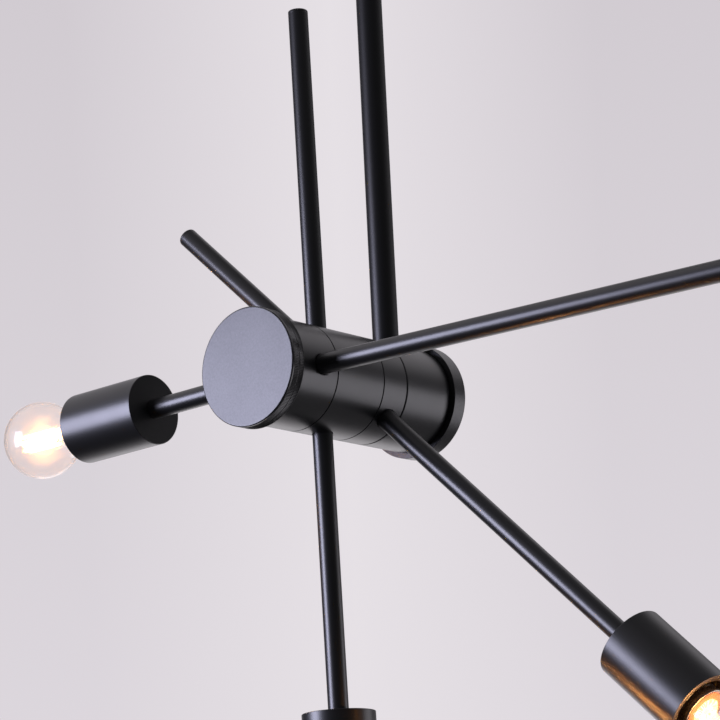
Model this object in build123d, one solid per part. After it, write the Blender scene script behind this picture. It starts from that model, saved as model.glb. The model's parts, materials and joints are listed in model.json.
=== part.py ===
from build123d import *
from dataclasses import dataclass
from math import sqrt
import os

# Ceiling light: a horizontal hub of stacked rings hangs on a rigid stem, and each ring carries one stick arm.
# Millimetres, +Z up. The origin is on the ceiling, on the stem's axis, and the hub lies along Y.

# Ceiling bracket, which spans the inside of the canopy
bracket_end_gap = 3.5
bracket_width = 22.0
bracket_thickness = 2.5
bracket_corner_radius = 4.0
slot_spacing = 60.0
slot_length = 14.0
slot_width = 5.0
terminal_tab_margin = 2.0
hanger_nut_height = 5.0
hanger_nut_flats = 17.0

# Terminal block and earth screw under the bracket
terminal_length = 30.0
terminal_depth = 14.0
terminal_height = 20.0
terminal_stem_gap = 12.0
terminal_poles = 3
terminal_screw_diameter = 4.0
terminal_screw_depth = 5.0
earth_screw_diameter = 4.0
earth_head_diameter = 8.0
earth_head_height = 2.6
earth_screw_inset = 7.0

# Canopy with its sliding collar and thumb screw
canopy_diameter = 120.0
canopy_height = 28.0
canopy_wall = 1.5
canopy_edge_radius = 5.0
collar_diameter = 28.0
collar_height = 14.0
collar_edge_chamfer = 1.0
stem_slide_clearance = 0.3
thumb_screw_diameter = 4.0
thumb_head_diameter = 8.0
thumb_head_length = 6.0
thumb_head_gap = 2.0

# Stem
stem_diameter = 16.0
stem_wall = 1.5
upper_stem_length = 150.0
lower_stem_length = 300.0
hanger_bush_length = 7.0
stem_bush_length = 14.0
stem_seat_depth = 6.75
cable_hole_diameter = 7.0

# Threaded nipples shared by the stem, the arms and the lampholders
thread_diameter = 10.0
thread_clearance = 0.05
nipple_bore = 6.6
nipple_end_gap = 0.5

# Wiring
cable_diameter = 5.5
lead_diameter = 4.0
loom_diameter = 8.0
wire_gap = 0.3

# Hub
hub_diameter = 63.5
hub_edge_chamfer = 0.4
stem_body_front = 21.2
stem_body_back = 19.5
axle_diameter = 30.0
axle_bore = 22.0
axle_fit_clearance = 0.02
ring_fit_clearance = 0.05
stop_slot_clearance = 0.3
stop_reach = 2.5
friction_washer_thickness = 0.6
friction_washer_inset = 1.2
clamp_washer_thickness = 1.0
clamp_washer_diameter = 58.0
washer_bore_clearance = 0.3
cap_diameter = 70.0
cap_length = 10.5
cap_face_thickness = 3.5
cap_edge_chamfer = 0.7
cap_end_gap = 0.3

# Arm tubes
tube_diameter = 12.0
tube_wall = 1.5
tube_seat_depth = 5.75
tube_hole_clearance = 0.2
tapped_length = 10.5
stud_axle_gap = 1.0
plug_head_length = 2.0
plug_spigot_length = 8.0
plug_edge_chamfer = 0.8
plug_fit_clearance = 0.05

# Lamp cup and lampholder
cup_diameter = 42.8
cup_length = 58.5
cup_wall = 1.8
cup_back_fillet = 0.8
cup_lip_chamfer = 0.4
holder_fit_clearance = 0.2
holder_lip_recess = 0.6
holder_boss_diameter = 30.0
holder_boss_length = 14.0
holder_rear_wall = 7.0
holder_chamber_diameter = 20.0
holder_web = 4.0
holder_entry_diameter = 34.4
holder_entry_depth = 7.4
socket_depth = 23.0
contact_height = 3.4
contact_gap = 0.3
contact_diameter = 9.0
screw_shell_thickness = 0.5
screw_shell_clearance = 0.25
shell_fit_clearance = 0.05

# Globe bulb
base_diameter = 26.1
base_wall = 0.8
base_skirt = 3.0
base_cone_length = 2.4
base_tip_diameter = 10.0
globe_diameter = 48.0
globe_ahead = 37.0
neck_diameter = 25.6
neck_flare_radius = 14.0
glass_thickness = 0.7
glass_seat_clearance = 0.05
mount_flange_diameter = 15.0
mount_flange_thickness = 1.2
mount_stem_diameter = 5.0
filament_count = 6
filament_diameter = 1.8
filament_length = 30.0
filament_circle = 11.0

# Arm b, beside the stem. Angles count from +X towards +Z, and both reaches from the hub's axis.
arm_b_angle = 316.8
arm_b_ring_width = 20.8
arm_b_rod_setback = 10.7
arm_b_lamp_reach = 254.5
arm_b_tail_reach = 179.0
arm_b_swing_back = 18.0
arm_b_swing_ahead = 165.0

# Arm a, in the middle
arm_a_angle = 271.0
arm_a_ring_width = 41.3
arm_a_rod_setback = 21.3
arm_a_lamp_reach = 195.0
arm_a_tail_reach = 232.0
arm_a_swing_back = 40.0
arm_a_swing_ahead = 20.0

# Arm c, beside the near cap. Its tail hangs a little out of line with its lamp tube.
arm_c_angle = 181.9
arm_c_ring_width = 32.0
arm_c_rod_setback = 13.6
arm_c_lamp_reach = 102.0
arm_c_tail_reach = 331.0
arm_c_tail_droop = 2.0
arm_c_swing_back = 165.0
arm_c_swing_ahead = 35.0


@dataclass
class Arm:
    """One ring of the hub with its lamp tube on one side and its plain tail tube on the other."""

    name: str
    lamp_angle: float
    ring_width: float
    rod_setback: float
    lamp_reach: float
    tail_reach: float
    swing_back: float
    swing_ahead: float
    tail_droop: float = 0.0


# Arms in order from the stem towards the near cap
arms = [
    Arm(
        "b",
        arm_b_angle,
        arm_b_ring_width,
        arm_b_rod_setback,
        arm_b_lamp_reach,
        arm_b_tail_reach,
        arm_b_swing_back,
        arm_b_swing_ahead,
    ),
    Arm(
        "a",
        arm_a_angle,
        arm_a_ring_width,
        arm_a_rod_setback,
        arm_a_lamp_reach,
        arm_a_tail_reach,
        arm_a_swing_back,
        arm_a_swing_ahead,
    ),
    Arm(
        "c",
        arm_c_angle,
        arm_c_ring_width,
        arm_c_rod_setback,
        arm_c_lamp_reach,
        arm_c_tail_reach,
        arm_c_swing_back,
        arm_c_swing_ahead,
        arm_c_tail_droop,
    ),
]

# Sizes that follow from the ones above
bracket_length = canopy_diameter - 2 * canopy_wall - 2 * bracket_end_gap
stem_bore = stem_diameter - 2 * stem_wall
tube_bore = tube_diameter - 2 * tube_wall
thread_hole = thread_diameter + 2 * thread_clearance
stem_slide_hole = stem_diameter + 2 * stem_slide_clearance
hub_radius = hub_diameter / 2
axle_radius = axle_diameter / 2
stem_seat_radius = hub_radius - stem_seat_depth
tube_seat_radius = hub_radius - tube_seat_depth
stem_top = -(bracket_thickness + hanger_nut_height)
stem_joint = stem_top - upper_stem_length
stem_foot = stem_joint - lower_stem_length
hub_height = stem_foot - stem_seat_radius
cable_exit_height = stem_top - hanger_bush_length - cable_hole_diameter / 2 - wire_gap
terminal_front = stem_diameter / 2 + terminal_stem_gap
loom_radius = loom_diameter / 2

# The hub's own frame: its Z runs along the hub from the stem towards the near cap, its Y points up.
hub_frame = Pos(0, 0, hub_height) * Rot(90, 0, 0)


def stack_rings():
    """Work out where each ring starts along the hub, and where the last one ends."""
    starts = {}
    place = stem_body_front
    for arm in arms:
        place += friction_washer_thickness
        starts[arm.name] = place
        place += arm.ring_width
    return starts, place


ring_starts, rings_end = stack_rings()
near_cap_start = rings_end + clamp_washer_thickness
far_cap_start = stem_body_back + clamp_washer_thickness
axle_reach_in_cap = cap_length - cap_face_thickness - cap_end_gap


def rod(diameter, start, end):
    """Round bar along Z."""
    return Pos(0, 0, start) * Cylinder(diameter / 2, end - start, align=(Align.CENTER, Align.CENTER, Align.MIN))


def tube(outer, inner, start, end):
    """Round tube along Z."""
    return rod(outer, start, end) - rod(inner, start, end)


def turned(profile):
    """Solid of revolution about Z from a closed wire of radius and height."""
    return revolve(Plane.XZ * make_face(profile), Axis.Z)


def end_rims(shape, at_top):
    """Circular edges of the lowest or highest end face of a shape that stands along Z."""
    face = shape.faces().sort_by(Axis.Z)[-1 if at_top else 0]
    return face.outer_wire().edges()


def radial(angle, shape):
    """Turn a shape that stands along Z so that it points out from the hub at an angle."""
    return Rot(0, 0, angle) * Rot(0, 90, 0) * shape


def rod_station(arm):
    """Distance along the hub from the stem's axis to an arm's tubes."""
    return ring_starts[arm.name] + arm.rod_setback


def on_arm(arm, shape):
    """Put a shape that stands along Z on an arm, with Z measured from the hub's axis towards the lamp."""
    return hub_frame * Pos(0, 0, rod_station(arm)) * radial(arm.lamp_angle, shape)


def tail_angle(arm):
    """Direction of an arm's tail tube."""
    return arm.lamp_angle + 180 - arm.tail_droop


def on_tail(arm, shape):
    """Put a shape that stands along Z on an arm's tail side, with Z measured from the hub's axis outwards."""
    return hub_frame * Pos(0, 0, rod_station(arm)) * radial(tail_angle(arm), shape)


def ceiling_bracket():
    """Slotted crossbar with a tab for the terminal block and a threaded middle for the hanger nipple."""
    top_aligned = (Align.CENTER, Align.CENTER, Align.MAX)
    bar = Box(bracket_length, bracket_width, bracket_thickness, align=top_aligned)
    tab_width = terminal_length + 2 * terminal_tab_margin
    tab_depth = terminal_front + terminal_depth + terminal_tab_margin
    tab = Box(tab_width, tab_depth, bracket_thickness, align=(Align.CENTER, Align.MIN, Align.MAX))
    plate = bar + tab
    corners = plate.edges().filter_by(Axis.Z)
    ends = corners.filter_by(lambda edge: abs(edge.center().X) > slot_spacing / 2)
    plate = fillet(ends, bracket_corner_radius)
    plate -= rod(thread_hole, -bracket_thickness, 0)
    for side in (-1, 1):
        slot = extrude(SlotOverall(slot_length, slot_width), -bracket_thickness)
        plate -= Pos(side * slot_spacing / 2, 0, 0) * slot
    earth_hole = rod(earth_screw_diameter + 2 * thread_clearance, -bracket_thickness, 0)
    return plate - Pos(earth_screw_inset - bracket_length / 2, 0, 0) * earth_hole


def hanger_nut():
    """Hex nut that locks the hanger nipple under the bracket."""
    hexagon = RegularPolygon(hanger_nut_flats / 2, 6, major_radius=False)
    nut = Pos(0, 0, stem_top) * extrude(hexagon, hanger_nut_height)
    return nut - rod(thread_hole, stem_top, -bracket_thickness)


def terminal_block():
    """Insulated terminal block with a screw well over each pole."""
    align = (Align.CENTER, Align.MIN, Align.MAX)
    block = Box(terminal_length, terminal_depth, terminal_height, align=align)
    pitch = terminal_length / terminal_poles
    for pole in range(terminal_poles):
        across = (pole - (terminal_poles - 1) / 2) * pitch
        well = rod(terminal_screw_diameter, -terminal_height, terminal_screw_depth - terminal_height)
        block -= Pos(across, terminal_depth / 2, 0) * well
    return Pos(0, terminal_front, -bracket_thickness) * block


def earth_screw():
    """Round-headed earth screw in the bracket, with a driver slot."""
    head_foot = -bracket_thickness - earth_head_height
    head = rod(earth_head_diameter, head_foot, -bracket_thickness)
    shank = rod(earth_screw_diameter, -bracket_thickness, 0)
    slot_size = earth_head_height / 2
    driver_slot = Pos(0, 0, head_foot) * Box(earth_head_diameter, slot_size / 2, slot_size)
    return Pos(earth_screw_inset - bracket_length / 2, 0, 0) * (head + shank - driver_slot)


def canopy():
    """Dished round cover with a hole that slides on the stem."""
    outer = rod(canopy_diameter, -canopy_height, 0)
    outer = fillet(end_rims(outer, False), canopy_edge_radius)
    inner = rod(canopy_diameter - 2 * canopy_wall, canopy_wall - canopy_height, 0)
    inner = fillet(end_rims(inner, False), canopy_edge_radius - canopy_wall)
    return outer - inner - rod(stem_slide_hole, -canopy_height, 0)


def collar_middle():
    """Height of the thumb screw's axis."""
    return -canopy_height - collar_height / 2


def canopy_collar():
    """Collar under the canopy, tapped for the thumb screw."""
    foot = -canopy_height - collar_height
    body = rod(collar_diameter, foot, -canopy_height)
    body = chamfer(end_rims(body, False), collar_edge_chamfer)
    screw_hole = rod(thumb_screw_diameter + 2 * thread_clearance, 0, collar_diameter)
    body -= Pos(0, 0, collar_middle()) * radial(0, screw_hole)
    return body - rod(stem_slide_hole, foot, -canopy_height)


def thumb_screw():
    """Thumb screw that holds the collar on the stem."""
    tip = stem_diameter / 2 + stem_slide_clearance
    head_start = collar_diameter / 2 + thumb_head_gap
    screw = rod(thumb_screw_diameter, tip, head_start) + rod(
        thumb_head_diameter, head_start, head_start + thumb_head_length
    )
    return Pos(0, 0, collar_middle()) * radial(0, screw)


def upper_stem():
    """Upper stem tube with the cable's side hole inside the canopy."""
    body = tube(stem_diameter, stem_bore, stem_joint, stem_top)
    side_hole = Rot(-90, 0, 0) * rod(cable_hole_diameter, 0, stem_diameter)
    return body - Pos(0, 0, cable_exit_height) * side_hole


def lower_stem():
    """Lower stem tube."""
    return tube(stem_diameter, stem_bore, stem_foot, stem_joint)


def stem_bushes():
    """Threaded bushes in the ends of both stem tubes."""
    spans = [
        (stem_top - hanger_bush_length, stem_top),
        (stem_joint, stem_joint + stem_bush_length),
        (stem_joint - stem_bush_length, stem_joint),
        (stem_foot, stem_foot + stem_bush_length),
    ]
    return Compound(children=[tube(stem_bore, thread_hole, low, high) for low, high in spans])


def stem_nipples():
    """Hanger nipple, stem coupling nipple and the hub nipple that pins the axle in the stem body."""
    hanger = rod(thread_diameter, stem_top - hanger_bush_length, 0)
    grip = stem_bush_length - nipple_end_gap
    coupling = tube(thread_diameter, nipple_bore, stem_joint - grip, stem_joint + grip)
    axle_wall = hub_height + axle_bore / 2 + nipple_end_gap
    hub_nipple = tube(thread_diameter, nipple_bore, axle_wall, stem_foot + grip)
    return Compound(children=[hanger, coupling, hub_nipple])


def supply_cable():
    """Supply cable from the terminal block down the stem to the loom in the hub."""
    bend = stem_bore / 2
    route = FilletPolyline(
        (0, terminal_front - wire_gap, cable_exit_height),
        (0, 0, cable_exit_height),
        (0, 0, hub_height + loom_radius + wire_gap),
        radius=bend,
    )
    section = Plane(origin=route @ 0, z_dir=route % 0) * Circle(cable_diameter / 2)
    return sweep(section, path=route)


def hub_loom():
    """Bundle of wires along the middle of the axle, past the end of each arm's lead."""
    last = max(rod_station(arm) for arm in arms)
    return hub_frame * rod(loom_diameter, -cable_diameter, last + lead_diameter)


def hub_segment(start, end):
    """Plain round segment of the hub with broken edges."""
    body = rod(hub_diameter, start, end)
    return chamfer(end_rims(body, True) + end_rims(body, False), hub_edge_chamfer)


def stem_body():
    """Fixed segment of the hub that the stem screws into."""
    body = hub_segment(-stem_body_back, stem_body_front)
    body -= rod(axle_diameter + 2 * axle_fit_clearance, -stem_body_back, stem_body_front)
    stem_hole = stem_diameter + 2 * tube_hole_clearance
    body -= radial(90, rod(stem_hole, stem_seat_radius, hub_diameter))
    return hub_frame * (body - radial(90, rod(thread_hole, 0, stem_seat_radius)))


def stop_slot(arm):
    """Slot in the axle that lets an arm's nipple swing, with round ends that stop it."""
    width = thread_diameter + 2 * stop_slot_clearance
    first = arm.lamp_angle - arm.swing_back
    sweep_angle = arm.swing_back + arm.swing_ahead
    wall_middle = (axle_diameter + axle_bore) / 4
    wall = Pos(wall_middle, 0, 0) * (Plane.XZ * Rectangle(axle_diameter - axle_bore, width))
    slot = Rot(0, 0, first) * revolve(wall, Axis.Z, sweep_angle)
    for angle in (first, first + sweep_angle):
        slot += radial(angle, rod(width, axle_bore / 4, axle_diameter))
    return Pos(0, 0, rod_station(arm)) * slot


def hub_axle():
    """Hollow axle that carries the rings and both caps, slotted for each arm's wiring."""
    back = -(far_cap_start + axle_reach_in_cap)
    front = near_cap_start + axle_reach_in_cap
    axle = tube(axle_diameter, axle_bore, back, front)
    axle -= radial(90, rod(thread_hole, 0, axle_diameter))
    for arm in arms:
        axle -= stop_slot(arm)
    return hub_frame * axle


def friction_washers():
    """Washer on the stem side of each ring."""
    outer = hub_diameter - 2 * friction_washer_inset
    inner = axle_diameter + 2 * washer_bore_clearance
    washers = []
    for arm in arms:
        end = ring_starts[arm.name]
        washers.append(hub_frame * tube(outer, inner, end - friction_washer_thickness, end))
    return Compound(children=washers)


def clamp_washer():
    """Washer under a cap, standing on the hub's XY plane."""
    inner = axle_diameter + 2 * washer_bore_clearance
    return tube(clamp_washer_diameter, inner, 0, clamp_washer_thickness)


def end_cap():
    """Cap with a blind bore that screws onto the axle, standing on the hub's XY plane."""
    body = rod(cap_diameter, 0, cap_length)
    body = chamfer(end_rims(body, True) + end_rims(body, False), cap_edge_chamfer)
    return body - rod(axle_diameter + 2 * ring_fit_clearance, 0, cap_length - cap_face_thickness)


def near_end(start, shape):
    """Put a shape on the hub, facing the near end."""
    return hub_frame * Pos(0, 0, start) * shape


def far_end(start, shape):
    """Put a shape on the hub, facing the far end."""
    return hub_frame * Pos(0, 0, -start) * Rot(180, 0, 0) * shape


def arm_ring(arm):
    """Ring that turns on the axle, with a seat and a thread for each of the arm's tubes."""
    body = hub_segment(0, arm.ring_width)
    body -= rod(axle_diameter + 2 * ring_fit_clearance, 0, arm.ring_width)
    seat = tube_diameter + 2 * tube_hole_clearance
    cut = rod(seat, tube_seat_radius, hub_diameter) + rod(thread_hole, 0, hub_radius)
    for angle in (arm.lamp_angle, tail_angle(arm)):
        body -= Pos(0, 0, arm.rod_setback) * radial(angle, cut)
    return near_end(ring_starts[arm.name], body)


def lamp_tube(arm):
    """Tube from the ring to the lamp cup, tapped at both ends."""
    body = tube(tube_diameter, tube_bore, tube_seat_radius, arm.lamp_reach)
    body -= rod(thread_hole, tube_seat_radius, tube_seat_radius + tapped_length)
    return on_arm(arm, body - rod(thread_hole, arm.lamp_reach - tapped_length, arm.lamp_reach))


def tail_tube(arm):
    """Plain tube on the other side of the ring, tapped at the ring."""
    body = tube(tube_diameter, tube_bore, tube_seat_radius, arm.tail_reach - plug_head_length)
    return on_tail(arm, body - rod(thread_hole, tube_seat_radius, tube_seat_radius + tapped_length))


def tail_plug(arm):
    """Plug that closes the tail tube's end."""
    head_start = arm.tail_reach - plug_head_length
    head = rod(tube_diameter, head_start, arm.tail_reach)
    head = chamfer(end_rims(head, True), plug_edge_chamfer)
    spigot = rod(tube_bore - 2 * plug_fit_clearance, head_start - plug_spigot_length, head_start)
    return on_tail(arm, head + spigot)


def arm_nipples(arm):
    """Hollow nipple into the axle's slot, solid stud of the tail, and hollow nipple through the cup's back."""
    grip = tube_seat_radius + tapped_length - nipple_end_gap
    lamp_nipple = tube(thread_diameter, nipple_bore, axle_radius - stop_reach, grip)
    tail_stud = rod(thread_diameter, axle_radius + stud_axle_gap, grip)
    cup_start = arm.lamp_reach - tapped_length + nipple_end_gap
    cup_end = arm.lamp_reach + cup_wall + holder_rear_wall
    cup_nipple = tube(thread_diameter, nipple_bore, cup_start, cup_end)
    return Compound(children=[on_arm(arm, lamp_nipple), on_tail(arm, tail_stud), on_arm(arm, cup_nipple)])


def arm_lead(arm):
    """Two-core lead from the lampholder through the lamp tube to the loom."""
    chamber = arm.lamp_reach + cup_wall + holder_rear_wall + lead_diameter
    return on_arm(arm, rod(lead_diameter, loom_radius + wire_gap, chamber))


def lamp_cup(arm):
    """Plain round cup around the lampholder."""
    body = rod(cup_diameter, arm.lamp_reach, arm.lamp_reach + cup_length)
    body = fillet(end_rims(body, False), cup_back_fillet)
    body = chamfer(end_rims(body, True), cup_lip_chamfer)
    body -= rod(cup_diameter - 2 * cup_wall, arm.lamp_reach + cup_wall, arm.lamp_reach + cup_length)
    return on_arm(arm, body - rod(thread_hole, arm.lamp_reach, arm.lamp_reach + cup_wall))


def screw_shell_bore():
    """Bore of the lampholder's screw shell, which the bulb's base turns in."""
    return base_diameter + 2 * screw_shell_clearance


def socket_floor(arm):
    """Height of the floor that carries the centre contact."""
    return arm.lamp_reach + cup_length - socket_depth - contact_gap - contact_height


def lampholder(arm):
    """Insulating lampholder with a wiring chamber behind its web and the socket in front of it."""
    back = arm.lamp_reach + cup_wall
    mouth = arm.lamp_reach + cup_length - holder_lip_recess
    floor = socket_floor(arm)
    body = rod(holder_boss_diameter, back, back + holder_boss_length)
    body += rod(cup_diameter - 2 * cup_wall - 2 * holder_fit_clearance, back + holder_boss_length, mouth)
    body -= rod(thread_hole, back, back + holder_rear_wall)
    body -= rod(holder_chamber_diameter, back + holder_rear_wall, floor - holder_web)
    body -= rod(screw_shell_bore() + 2 * screw_shell_thickness + 2 * shell_fit_clearance, floor, mouth)
    return on_arm(arm, body - rod(holder_entry_diameter, mouth - holder_entry_depth, mouth))


def socket_contacts(arm):
    """Screw shell and domed centre contact of the lampholder."""
    floor = socket_floor(arm)
    shell_end = arm.lamp_reach + cup_length - holder_lip_recess - holder_entry_depth
    bore = screw_shell_bore()
    shell = tube(bore + 2 * screw_shell_thickness, bore, floor, shell_end)
    contact = rod(contact_diameter, floor, floor + contact_height)
    contact = fillet(end_rims(contact, True), contact_height / 2)
    return Compound(children=[on_arm(arm, shell), on_arm(arm, contact)])


def glass_outline(offset):
    """Radius and height line of the bulb's glass from the cup's mouth, moved inwards by an offset."""
    neck = neck_diameter / 2 - offset
    globe = globe_diameter / 2 - offset
    flare = neck_flare_radius + offset
    flare_height = globe_ahead - sqrt((globe + flare) ** 2 - (neck + flare) ** 2)
    share = globe / (globe + flare)
    joint = ((neck + flare) * share, globe_ahead - (globe_ahead - flare_height) * share)
    top = (0, globe_ahead + globe)
    foot = (neck, base_skirt - base_wall)
    neck_line = Line(foot, (neck, flare_height))
    flare_arc = TangentArc(neck_line @ 1, joint, tangent=neck_line % 1)
    globe_arc = TangentArc(flare_arc @ 1, top, tangent=flare_arc % 1)
    return [neck_line, flare_arc, globe_arc]


def bulb_glass(arm):
    """Hollow clear globe with its neck."""
    outer = glass_outline(0)
    inner = glass_outline(glass_thickness)
    rim = Line(inner[0] @ 0, outer[0] @ 0)
    crown = Line(outer[-1] @ 1, inner[-1] @ 1)
    body = turned(Wire([rim] + outer + [crown] + inner))
    return on_arm(arm, Pos(0, 0, arm.lamp_reach + cup_length) * body)


def bulb_base(arm):
    """Thin screw base with its skirt, and the insulated end piece with the tip contact."""
    mouth = arm.lamp_reach + cup_length
    cone_start = mouth - socket_depth
    shell_start = cone_start + base_cone_length
    shell = rod(base_diameter, shell_start, mouth + base_skirt)
    neck_seat = neck_diameter + 2 * glass_seat_clearance
    shell -= rod(base_diameter - 2 * base_wall, shell_start, mouth + base_skirt)
    shell += tube(neck_seat + 2 * base_wall, base_diameter - 2 * base_wall, mouth, mouth + base_skirt)
    shell -= rod(neck_seat, mouth + base_skirt - base_wall, mouth + base_skirt)
    cone = Cone(
        base_tip_diameter / 2,
        base_diameter / 2 - base_wall,
        base_cone_length,
        align=(Align.CENTER, Align.CENTER, Align.MIN),
    )
    end_piece = Pos(0, 0, cone_start) * cone
    end_piece += rod(base_diameter - 2 * base_wall, shell_start, shell_start + base_cone_length)
    return Compound(children=[on_arm(arm, shell), on_arm(arm, end_piece)])


def filament_start(arm):
    """Height where the filaments stand on the mount's lower flange."""
    return arm.lamp_reach + cup_length + globe_ahead - filament_length / 2


def bulb_mount(arm):
    """Glass mount that rises from the base and holds the filaments between two flanges."""
    foot = arm.lamp_reach + cup_length - socket_depth + 2 * base_cone_length
    low = filament_start(arm)
    high = low + filament_length
    body = rod(mount_stem_diameter, foot, high)
    body += rod(mount_flange_diameter, low - mount_flange_thickness, low)
    return on_arm(arm, body + rod(mount_flange_diameter, high, high + mount_flange_thickness))


def bulb_filaments(arm):
    """Straight filaments in a ring around the mount."""
    low = filament_start(arm)
    bar = Pos(filament_circle / 2, 0, 0) * rod(filament_diameter, low, low + filament_length)
    turns = [Rot(0, 0, index * 360 / filament_count) for index in range(filament_count)]
    return Compound(children=[on_arm(arm, turn * bar) for turn in turns])


fixed_pieces = {
    "ceiling_bracket": ceiling_bracket(),
    "hanger_nut": hanger_nut(),
    "terminal_block": terminal_block(),
    "earth_screw": earth_screw(),
    "canopy": canopy(),
    "canopy_collar": canopy_collar(),
    "thumb_screw": thumb_screw(),
    "upper_stem": upper_stem(),
    "lower_stem": lower_stem(),
    "stem_bushes": stem_bushes(),
    "stem_nipples": stem_nipples(),
    "supply_cable": supply_cable(),
    "hub_loom": hub_loom(),
    "stem_body": stem_body(),
    "hub_axle": hub_axle(),
    "friction_washers": friction_washers(),
    "near_washer": near_end(rings_end, clamp_washer()),
    "near_cap": near_end(near_cap_start, end_cap()),
    "far_washer": far_end(stem_body_back, clamp_washer()),
    "far_cap": far_end(far_cap_start, end_cap()),
}

arm_pieces = {
    "ring": arm_ring,
    "lamp_tube": lamp_tube,
    "tail_tube": tail_tube,
    "tail_plug": tail_plug,
    "arm_nipples": arm_nipples,
    "arm_lead": arm_lead,
    "lamp_cup": lamp_cup,
    "lampholder": lampholder,
    "socket_contacts": socket_contacts,
    "bulb_glass": bulb_glass,
    "bulb_base": bulb_base,
    "bulb_mount": bulb_mount,
    "bulb_filaments": bulb_filaments,
}

os.makedirs("parts", exist_ok=True)
for node, shape in fixed_pieces.items():
    export_step(shape, f"parts/{node}.step")
for arm in arms:
    for piece, make in arm_pieces.items():
        export_step(make(arm), f"parts/{piece}_{arm.name}.step")
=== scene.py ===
"""Dresses a satin black ceiling light: stem, hub of stacked rings and three stick arms with globes.

All lengths are in metres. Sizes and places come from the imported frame. The fields of each class add
the small details that the frame leaves plain: eased edges, knurls, threads, wires and finishes.
"""

import json
import logging
import math
from collections.abc import Callable
from dataclasses import dataclass, field
from enum import Enum

import bmesh
import bpy
from mathutils import Matrix, Vector


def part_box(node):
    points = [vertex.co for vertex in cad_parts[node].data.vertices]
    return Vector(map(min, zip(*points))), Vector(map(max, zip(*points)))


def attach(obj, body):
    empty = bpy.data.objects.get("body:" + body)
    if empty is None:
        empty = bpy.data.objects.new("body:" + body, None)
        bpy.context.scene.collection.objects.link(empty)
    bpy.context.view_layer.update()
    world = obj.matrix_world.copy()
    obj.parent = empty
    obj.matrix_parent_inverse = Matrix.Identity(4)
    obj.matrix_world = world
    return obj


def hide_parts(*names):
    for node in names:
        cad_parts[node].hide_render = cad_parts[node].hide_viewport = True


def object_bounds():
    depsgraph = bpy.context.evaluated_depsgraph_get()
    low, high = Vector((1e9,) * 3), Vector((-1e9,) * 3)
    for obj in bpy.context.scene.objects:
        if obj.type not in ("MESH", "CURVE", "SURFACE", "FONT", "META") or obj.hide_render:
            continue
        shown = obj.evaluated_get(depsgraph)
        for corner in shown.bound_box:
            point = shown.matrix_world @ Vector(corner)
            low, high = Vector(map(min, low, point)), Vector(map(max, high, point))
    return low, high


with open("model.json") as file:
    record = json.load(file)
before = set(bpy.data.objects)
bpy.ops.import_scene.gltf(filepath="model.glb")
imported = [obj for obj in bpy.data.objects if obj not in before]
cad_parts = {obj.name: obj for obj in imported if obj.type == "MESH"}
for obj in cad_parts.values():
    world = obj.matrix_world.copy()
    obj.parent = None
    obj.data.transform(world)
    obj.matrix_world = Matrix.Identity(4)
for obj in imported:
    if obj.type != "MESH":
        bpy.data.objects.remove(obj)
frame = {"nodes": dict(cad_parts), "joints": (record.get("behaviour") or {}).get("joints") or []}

CAD_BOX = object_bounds()
LOG = logging.getLogger("ceiling_light")
MM = 0.001
UP = Vector((0.0, 0.0, 1.0))
ARM_NAMES = ("a", "b", "c")
NOISE_RANGE = (0.3, 0.7)
Colour = tuple[float, float, float]
Range = tuple[float, float]


class Slot(Enum):
    """The record's material slots, listed beside the new pieces."""

    BLACK_STEEL = "black_steel"
    BLACK_ALUMINIUM = "black_aluminium"
    STEEL = "steel"
    BLACK_PLASTIC = "black_plastic"
    CLEAR_GLASS = "clear_glass"
    BASE_METAL = "base_metal"
    FILAMENT = "filament"


class Rays(Enum):
    """Light Path outputs that the world and the glass choose by."""

    CAMERA = "Is Camera Ray"
    GLOSSY = "Is Glossy Ray"
    TRANSMISSION = "Is Transmission Ray"
    SHADOW = "Is Shadow Ray"


def joint(name: str) -> dict:
    """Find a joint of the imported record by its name."""
    return next(entry for entry in frame["joints"] if entry["name"] == name)


@dataclass(frozen=True)
class Line:
    """A line that pieces are turned about, with the directions that count as up and as X."""

    origin: Vector
    direction: Vector
    across: Vector

    def place(self) -> Matrix:
        """Stand a shape that was made about Z on this line.

        Returns:
            The transform that moves the shape there.
        """
        upward = self.direction.normalized()
        side = self.across.normalized()
        axes = Matrix((side, upward.cross(side), upward)).transposed()
        return Matrix.Translation(self.origin) @ axes.to_4x4()

    def span(self, node: str) -> tuple[float, float]:
        """Measure where a CAD node starts and ends along the line.

        Args:
            node: Name of the CAD node.

        Returns:
            The lowest and the highest place along the line.
        """
        points = [vertex.co - self.origin for vertex in frame["nodes"][node].data.vertices]
        heights = [point.dot(self.direction) for point in points]
        return min(heights), max(heights)

    def reach(self, node: str) -> float:
        """Measure how far a CAD node reaches out from the line."""
        points = [vertex.co - self.origin for vertex in frame["nodes"][node].data.vertices]
        return max(point.cross(self.direction).length for point in points)


def stem_line() -> Line:
    """Give the stem's axis, from the ceiling upwards."""
    return Line(Vector(), UP.copy(), Vector((1.0, 0.0, 0.0)))


def hub_line() -> Line:
    """Give the hub's axis, from the stem towards the near cap."""
    swing = joint("near_cap_turn")
    return Line(Vector(swing["pos_m"]), Vector(swing["axis"]), Vector((1.0, 0.0, 0.0)))


def arm_line(name: str) -> Line:
    """Give an arm's axis, from the hub's axis towards the lamp.

    Args:
        name: The arm's letter.

    Returns:
        The line through the middle of the arm's tubes.
    """
    low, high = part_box(f"lamp_tube_{name}")
    hub = hub_line()
    origin = Vector((hub.origin.x, (low.y + high.y) / 2, hub.origin.z))
    return Line(origin, Vector(joint(f"bulb_{name}_out")["axis"]), hub.direction)


def tail_line(name: str) -> Line:
    """Give the axis of an arm's tail, from the hub's axis outwards.

    Args:
        name: The arm's letter.

    Returns:
        The line through the middle of the tail tube.
    """
    low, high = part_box(f"tail_tube_{name}")
    origin = arm_line(name).origin
    return Line(origin, ((low + high) / 2 - origin).normalized(), hub_line().direction)


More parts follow.
